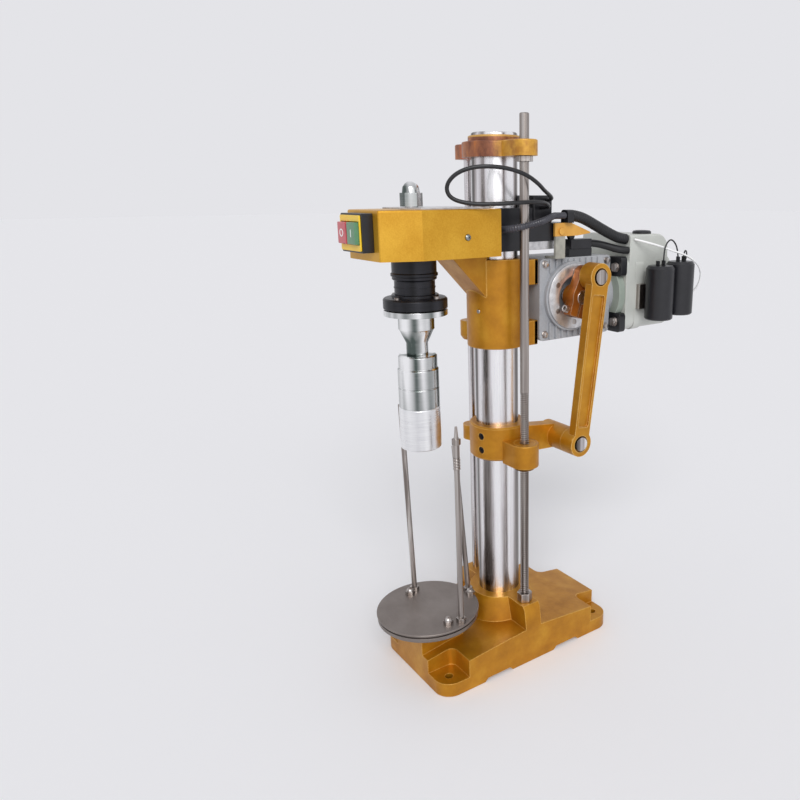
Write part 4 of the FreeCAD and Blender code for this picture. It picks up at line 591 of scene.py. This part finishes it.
def merge_in(form, shape):
    """Adds a finished shape to a form, and frees it."""
    mesh = bpy.data.meshes.new("part_of_piece")
    bmesh.ops.recalc_face_normals(shape, faces=shape.faces)
    shape.to_mesh(mesh)
    shape.free()
    form.from_mesh(mesh)
    bpy.data.meshes.remove(mesh)


def eased(shape, width):
    """Bevels every edge of a shape by a width in millimetres."""
    bmesh.ops.bevel(shape, geom=shape.edges[:], offset=width * MM, offset_type="OFFSET", segments=2,
                    profile=0.5, affect="EDGES", material=-1)


def block_in(form, low, high, ease=0.0):
    """Adds a block between two corners in millimetres, with its edges eased."""
    shape = bmesh.new()
    bmesh.ops.create_cube(shape, size=1)
    span = [b - a for a, b in zip(low, high)]
    middle = [(a + b) / 2 for a, b in zip(low, high)]
    bmesh.ops.scale(shape, vec=Vector(span) * MM, verts=shape.verts)
    bmesh.ops.translate(shape, vec=Vector(middle) * MM, verts=shape.verts)
    if ease:
        eased(shape, ease)
    merge_in(form, shape)


def prism_in(form, outline, low, high, axis, hole=None):
    """Adds a plate: an outline in millimetres, from one place to another along X or Z, round its hole."""
    shape = bmesh.new()
    if axis == "X":
        spots = [Vector((low, a, b)) for a, b in outline]
    else:
        spots = [Vector((a, b, low)) for a, b in outline]
    verts = [shape.verts.new(spot * MM) for spot in spots]
    for pair in zip(verts, verts[1:] + verts[:1]):
        shape.edges.new(pair)
    if hole:
        bmesh.ops.create_circle(shape, cap_ends=False, segments=48, radius=hole[2] * MM,
                                matrix=Matrix.Translation(Vector((hole[0], hole[1], low)) * MM))
    bmesh.ops.triangle_fill(shape, use_beauty=True, edges=shape.edges[:])
    made = bmesh.ops.extrude_face_region(shape, geom=shape.faces[:])
    lifted = [item for item in made["geom"] if isinstance(item, bmesh.types.BMVert)]
    bmesh.ops.translate(shape, verts=lifted, vec=(ALONG_X if axis == "X" else UP) * (high - low) * MM)
    merge_in(form, shape)


def bolt_in(form, centre, axis, flats, height, washer):
    """Adds a hexagon head on its washer, standing on a face."""
    turn_profile(form, [(0, 0), (washer, 0), (washer, 0.8), (washer - 0.4, 1.2), (0, 1.2)], centre, axis, 24)
    shape = bmesh.new()
    corner = flats * MM / math.sqrt(3)
    bmesh.ops.create_cone(shape, cap_ends=True, segments=6, radius1=corner, radius2=corner, depth=height * MM)
    eased(shape, 0.35)
    middle = Vector(centre) + Vector(axis).normalized() * (1.1 + height / 2)
    bmesh.ops.transform(shape, matrix=placed(middle, axis), verts=shape.verts)
    merge_in(form, shape)


def make_head_casting():
    """The head's casting: sleeve on the column, floor under the cover, gusset, guide ear and gearbox arms."""
    form = bmesh.new()
    bore = COLUMN_RADIUS + 0.1
    sleeve = [(bore, 457), (40, 457), (40, 575.5), (bore, 575.5), (bore, 457)]
    turn_profile(form, sleeve, (0, 0, 0), UP, 96)
    floor_side = [(54, -31.3), (54, -143), (37.5, -187.5)]
    floor = floor_side + [(-across, along) for across, along in reversed(floor_side)]
    prism_in(form, floor, 584, 592, "Z", (0, SPINDLE_Y, 20))
    prism_in(form, [(-30, 524), (-30, 585.5), (-88, 585.5)], -24, 24, "X")
    ear = [(5.1, 455), (11, 455), (15, 461), (15, 483), (5.1, 483), (5.1, 455)]
    turn_profile(form, ear, (-SCREW_X, 0, 0), UP, 48)
    block_in(form, (-56, -12, 459), (-34, 12, 482.5))
    arm_height = 34
    for level in (457, 539.5):
        for side in (1, -1):
            block_in(form, (side * 33.5 - 2.5, 10, level), (side * 33.5 + 2.5, 45, level + arm_height))
        block_in(form, (-36, 38, level), (36, 45, level + arm_height))
    piece = new_piece("head_casting_dressed", form, "casting_paint", "head")
    rounded(piece, 1.3)
    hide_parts("head_casting")


def make_screw_boss():
    """The collar's wide round-ended boss about the lead screw, closed over the bronze nut."""
    form = bmesh.new()
    radius, inner, foot, top, nut_top = 19.8, 39, 297, 330, 323.3
    arc = [math.radians(-90 + 7.5 * step) for step in range(25)]
    round_end = [(SCREW_X + radius * math.cos(angle), radius * math.sin(angle)) for angle in arc]
    prism_in(form, [(inner, -radius)] + round_end + [(inner, radius)], foot, top, "Z", (SCREW_X, 0, 14.2))
    lid = [(6.5, nut_top), (6.5, top - 0.1), (15, top - 0.1), (15, nut_top), (6.5, nut_top)]
    turn_profile(form, lid, (SCREW_X, 0, 0), UP, 48)
    piece = new_piece("collar_boss", form, "casting_paint", BODY_OF["height_collar"])
    rounded(piece, 1.2)


def make_cover_screws():
    """One round-headed screw with a recess on each side of the belt cover."""
    form = bmesh.new()
    head = [(0, -0.5), (4.1, -0.5), (4.1, 0.5), (3.6, 1.7), (2.4, 2.5), (1.4, 2.7), (1.1, 1.4), (0, 1.4)]
    for side in (1, -1):
        turn_profile(form, head, (side * COVER_HALF, COVER_SCREW_Y, 607), (side, 0, 0), 32)
    new_piece("cover_screws", form, "bright_chrome", "head")


def make_lead_screw():
    """The lead screw: a smooth bar above, and below it a trapezoidal thread of 3 mm pitch."""
    foot, top, tip, pitch, steps = 96.0, 405.0, 752.0, 3.0, 24
    form = bmesh.new()
    turn_profile(form, [(0, top - 4), (6, top - 4), (6, tip - 1), (5, tip), (0, tip)], (SCREW_X, 0, 0))
    turn_profile(form, [(0, 70), (6, 70), (6, foot + 4), (0, foot + 4)], (SCREW_X, 0, 0))
    shape = bmesh.new()
    turns = int((top - foot) / pitch)
    outline = [(4.5, 0), (6.0, 0.6), (6.0, 1.4), (4.5, 2.0), (4.5, pitch)]
    verts = [shape.verts.new((radius * MM, 0, height * MM)) for radius, height in outline]
    edges = [shape.edges.new(pair) for pair in zip(verts, verts[1:])]
    bmesh.ops.spin(shape, geom=verts + edges, axis=UP, cent=(0, 0, 0), dvec=(0, 0, pitch * MM / steps),
                   angle=2 * math.pi * turns, steps=steps * turns)
    bmesh.ops.remove_doubles(shape, verts=shape.verts, dist=0.01 * MM)
    bmesh.ops.holes_fill(shape, edges=shape.edges, sides=0)
    bmesh.ops.translate(shape, vec=(SCREW_X * MM, 0, foot * MM), verts=shape.verts)
    merge_in(form, shape)
    piece = new_piece("threaded_lead_screw", form, "zinc_steel", "screw")
    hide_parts("lead_screw")


def make_gearbox_details():
    """Ribs cast on the gearbox's near and far faces round the output boss, and the corner bolts."""
    boss_radius, rib_half, rib_height, rib_pitch = 48, 1.1, 4.2, 11
    case_top, case_foot = 571.5, 462.5
    ribs = bmesh.new()
    bolts = bmesh.new()
    for side in (1, -1):
        near, far = sorted((side * GEARBOX_HALF, side * (GEARBOX_HALF + rib_height)))
        for number in range(9):
            across = 62 + number * rib_pitch
            reach = math.sqrt(max(boss_radius ** 2 - (across - GEARBOX_Y) ** 2, 0))
            for direction, outer in ((1, case_top), (-1, case_foot)):
                inner = GEARBOX_Z + direction * max(reach - 1, 34)
                low, high = sorted((inner, outer))
                if high - low > 2:
                    block_in(ribs, (near, across - rib_half, low), (far, across + rib_half, high), 0.6)
        for along, level in ((54, 566), (54, 470), (168, 565), (168, 470)):
            bolt_in(bolts, (side * (GEARBOX_HALF + 1), along, level), (side, 0, 0), 7, 3.4, 5)
    new_piece("gearbox_ribs", ribs, "gearbox_paint", "head")
    new_piece("gearbox_bolts", bolts, "zinc_steel", "head")


def make_button_marks():
    """The plain round and straight marks that stand proud of the two push buttons."""
    ring = bmesh.new()
    section = [(3.4, -0.3), (4.6, -0.3), (4.6, 0.2), (3.4, 0.2), (3.4, -0.3)]
    turn_profile(ring, section, (-12.5, -212, 614.3), ALONG_Y, 40)
    new_piece("stop_mark", ring, "white_plastic", "stop_key")
    bar = bmesh.new()
    block_in(bar, (11.8, -212.3, 610), (13.2, -211.8, 618.6), 0.15)
    new_piece("start_mark", bar, "white_plastic", "start_key")


def make_terminal_plug():
    """The black rubber plug in the terminal box's roof."""
    plug = bmesh.new()
    turn_profile(plug, [(0, -1), (14, -1), (14, 2.6), (12.4, 4.2), (9, 4.8), (0, 5)], (32, 246, 600), UP, 48)
    new_piece("terminal_plug", plug, "black_rubber", "head")


def make_small_screws():
    """The grub screw in the sleeve and the four cap screws on the black bearing flange."""
    form = bmesh.new()
    way = Vector((13.3, -37.7, 0)).normalized()
    sleeve_radius, bolt_circle = 40, 34
    grub = [(0, -1), (2.6, -1), (2.6, 0.8), (2.0, 1.2), (1.2, 1.2), (1.2, 0.4), (0, 0.4)]
    turn_profile(form, grub, way * sleeve_radius + Vector((0, 0, 507.8)), way, 24)
    cap = [(0, 0), (3.4, 0), (3.4, 3), (3.0, 3.4), (1.7, 3.4), (1.7, 1.2), (0, 1.2)]
    for number in range(4):
        angle = math.radians(20 + 90 * number)
        spot = (bolt_circle * math.cos(angle), SPINDLE_Y + bolt_circle * math.sin(angle), 532.5)
        turn_profile(form, cap, spot, UP, 24)
    new_piece("sleeve_and_flange_screws", form, "zinc_steel", "head")


def make_quill_bead():
    """The fine raised ring round the black quill."""
    form = bmesh.new()
    section = [(25, 545.2), (26.2, 545.2), (26.2, 546.4), (25, 546.4), (25, 545.2)]
    turn_profile(form, section, (0, SPINDLE_Y, 0))
    new_piece("quill_bead", form, "black_steel", "head")


def at_spindle(foot, top):
    """The two corners of a box round the spindle from one height to another."""
    return (-40, SPINDLE_Y - 45.5, foot), (40, SPINDLE_Y + 44.5, top)


def on_both_sides(inner, outer, front, rear, foot, top):
    """The corners of two boxes, one on each side of the machine."""
    yield (-outer, front, foot), (-inner, rear, top)
    yield (inner, front, foot), (outer, rear, top)


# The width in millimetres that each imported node's corners are rounded by, 0 for thin folded sheet.
SOFTENED = {
    "base_casting": 1.6, "top_ring": 1.0, "height_collar": 1.2, "belt_cover": 0,
    "cover_plate": 0.3, "belt_guard": 0, "drive_plate": 0.5, "spindle_motor": 0.8, "gearbox_housing": 1.0,
    "motor_flange": 0.8, "motor_frame": 0.8, "motor_cowl": 0.6, "terminal_box": 0.6, "capacitor_plate": 0.3,
    "limit_bracket": 0.3, "hose_clip": 0.4, "limit_switch": 0.5, "switch_box": 0.6, "switch_frame": 0.5,
    "start_button": 0.6, "stop_button": 0.6, "crank_arm": 0.9, "crank_pins": 0.4, "connecting_rod": 1.0,
    "link_pin": 0.4, "platform_nuts": 0.3, "post_tip": 0.2, "cap_nut": 0.4, "head_fasteners": 0.3,
    "screw_collars": 0.4, "lift_nut": 0.3, "output_shaft": 0.4, "collar_set_screws": 0.2, "column": 0.5,
    "guide_rod": 0.4, "platform_discs": 0.4, "platform_posts": 0.3, "capacitors": 0.6, "quill_housing": 0.4,
    "bearing_flange": 0.5, "flanged_chuck": 0.4, "sealing_body": 0.4, "sealing_cup": 0.4, "output_cover": 0.4,
}
OWN_FINISH = {"motor_flange": FLANGE_FINISH, "connecting_rod": ROD_FINISH}
OWN_SLOT = {"cap_nut": "bright_chrome", "sealing_body": "bright_chrome", "hose_clip": "black_plastic"}
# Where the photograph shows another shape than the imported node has, the changes to its copy.
RESHAPED = {
    "quill_housing": [moved(*at_spindle(570, 600), (0, 0, 10.5))],
    "sealing_body": [moved(*at_spindle(380, 415), (0, 0, 5))],
    "sealing_cup": [moved(*at_spindle(320, 357), (0, 0, 6)), moved(*at_spindle(363.1, 400), (0, 0, 5))],
    "platform_posts": [moved((-30, -100, 150), (30, -30, 400), (0, 0, -52))],
    "height_collar": [drawn_in, moved((-90, -50, 290), (-45, 50, 360), (0, 0, -22))],
    "collar_set_screws": [drawn_in],
    "head_fasteners": [removed(*box) for box in on_both_sides(48, 62, -140, -60, 590, 620)],
    "belt_cover": [
        removed(*box) for front in (-74, -134) for box in on_both_sides(54, 58, front, front + 8, 598, 606)
    ] + [closed_holes],
}
for node, width in SOFTENED.items():
    softened(node, width)
for node, slot in SLOT_OF.items():
    if node not in SOFTENED:
        shown = frame["nodes"][node]
        shown.data.materials.clear()
        shown.data.materials.append(FINISHES[slot])
for cord, slot in CORDS:
    cord.data.materials.append(FINISHES[slot])
make_head_casting()
make_screw_boss()
make_cover_screws()
make_lead_screw()
make_gearbox_details()
make_button_marks()
make_terminal_plug()
make_small_screws()
make_quill_bead()


# Stage, light and frame sizes

BACKDROP = "#E4E4E8"
ROOM_LIGHT = 0.50
KEY_LIGHT = 1.7
KEY_SPREAD = 35
KEY_WAY = Vector((0.85, -0.55, 0.75)).normalized()
FILL_LIGHT = 0.6
FILL_SPREAD = 60
FILL_WAY = Vector((1.0, -0.2, 0.15)).normalized()
FLOOR_HALF = 25
FLOOR_GAP = 0.0004


def build_stage():
    """A paper floor far wider than the machine, whose own colour under this light is the backdrop's."""
    made = bpy.data.materials.new("paper_sweep")
    made.use_nodes = True
    tree = made.node_tree
    tree.nodes.clear()
    level = ROOM_LIGHT + (KEY_LIGHT * KEY_WAY.z + FILL_LIGHT * FILL_WAY.z) / math.pi
    paper = tuple(min(channel / level, 1.0) for channel in rgb(BACKDROP)[:3]) + (1.0,)
    diffuse = add(tree, "ShaderNodeBsdfDiffuse", {"Color": paper})
    output = add(tree, "ShaderNodeOutputMaterial")
    tree.links.new(diffuse.outputs["BSDF"], output.inputs["Surface"])
    form = bmesh.new()
    bmesh.ops.create_grid(form, x_segments=2, y_segments=2, size=FLOOR_HALF)
    mesh = bpy.data.meshes.new("floor")
    form.to_mesh(mesh)
    form.free()
    mesh.materials.append(made)
    floor = bpy.data.objects.new("floor", mesh)
    floor.location = (0, 0, -FLOOR_GAP)
    bpy.context.scene.collection.objects.link(floor)


def sun_lamp(name, way, power, spread):
    """A broad soft light from far away, so that the floor is lit evenly."""
    data = bpy.data.lights.new(name, "SUN")
    data.energy = power
    data.angle = math.radians(spread)
    lamp = bpy.data.objects.new(name, data)
    lamp.rotation_euler = way.to_track_quat("Z", "Y").to_euler()
    bpy.context.scene.collection.objects.link(lamp)


def light_scene():
    """An even pale room, a broad key light from the front and a weaker one from the right."""
    world = bpy.data.worlds.new("pale_room")
    bpy.context.scene.world = world
    world.use_nodes = True
    tree = world.node_tree
    tree.nodes.clear()
    path = add(tree, "ShaderNodeLightPath")
    seen = maths(tree, "MAXIMUM", path.outputs["Is Camera Ray"], path.outputs["Is Glossy Ray"])
    seen = maths(tree, "MAXIMUM", seen, path.outputs["Is Transmission Ray"])
    room = add(tree, "ShaderNodeBackground", {"Color": (1, 1, 1, 1), "Strength": ROOM_LIGHT})
    view = add(tree, "ShaderNodeBackground", {"Color": rgb(BACKDROP), "Strength": 1.0})
    both = add(tree, "ShaderNodeMixShader", None,
               {"Fac": seen, 1: room.outputs["Background"], 2: view.outputs["Background"]})
    output = add(tree, "ShaderNodeOutputWorld")
    tree.links.new(both.outputs["Shader"], output.inputs["Surface"])
    sun_lamp("front_key", KEY_WAY, KEY_LIGHT, KEY_SPREAD)
    sun_lamp("right_fill", FILL_WAY, FILL_LIGHT, FILL_SPREAD)


build_stage()
light_scene()
bpy.context.scene.view_settings.view_transform = "Standard"
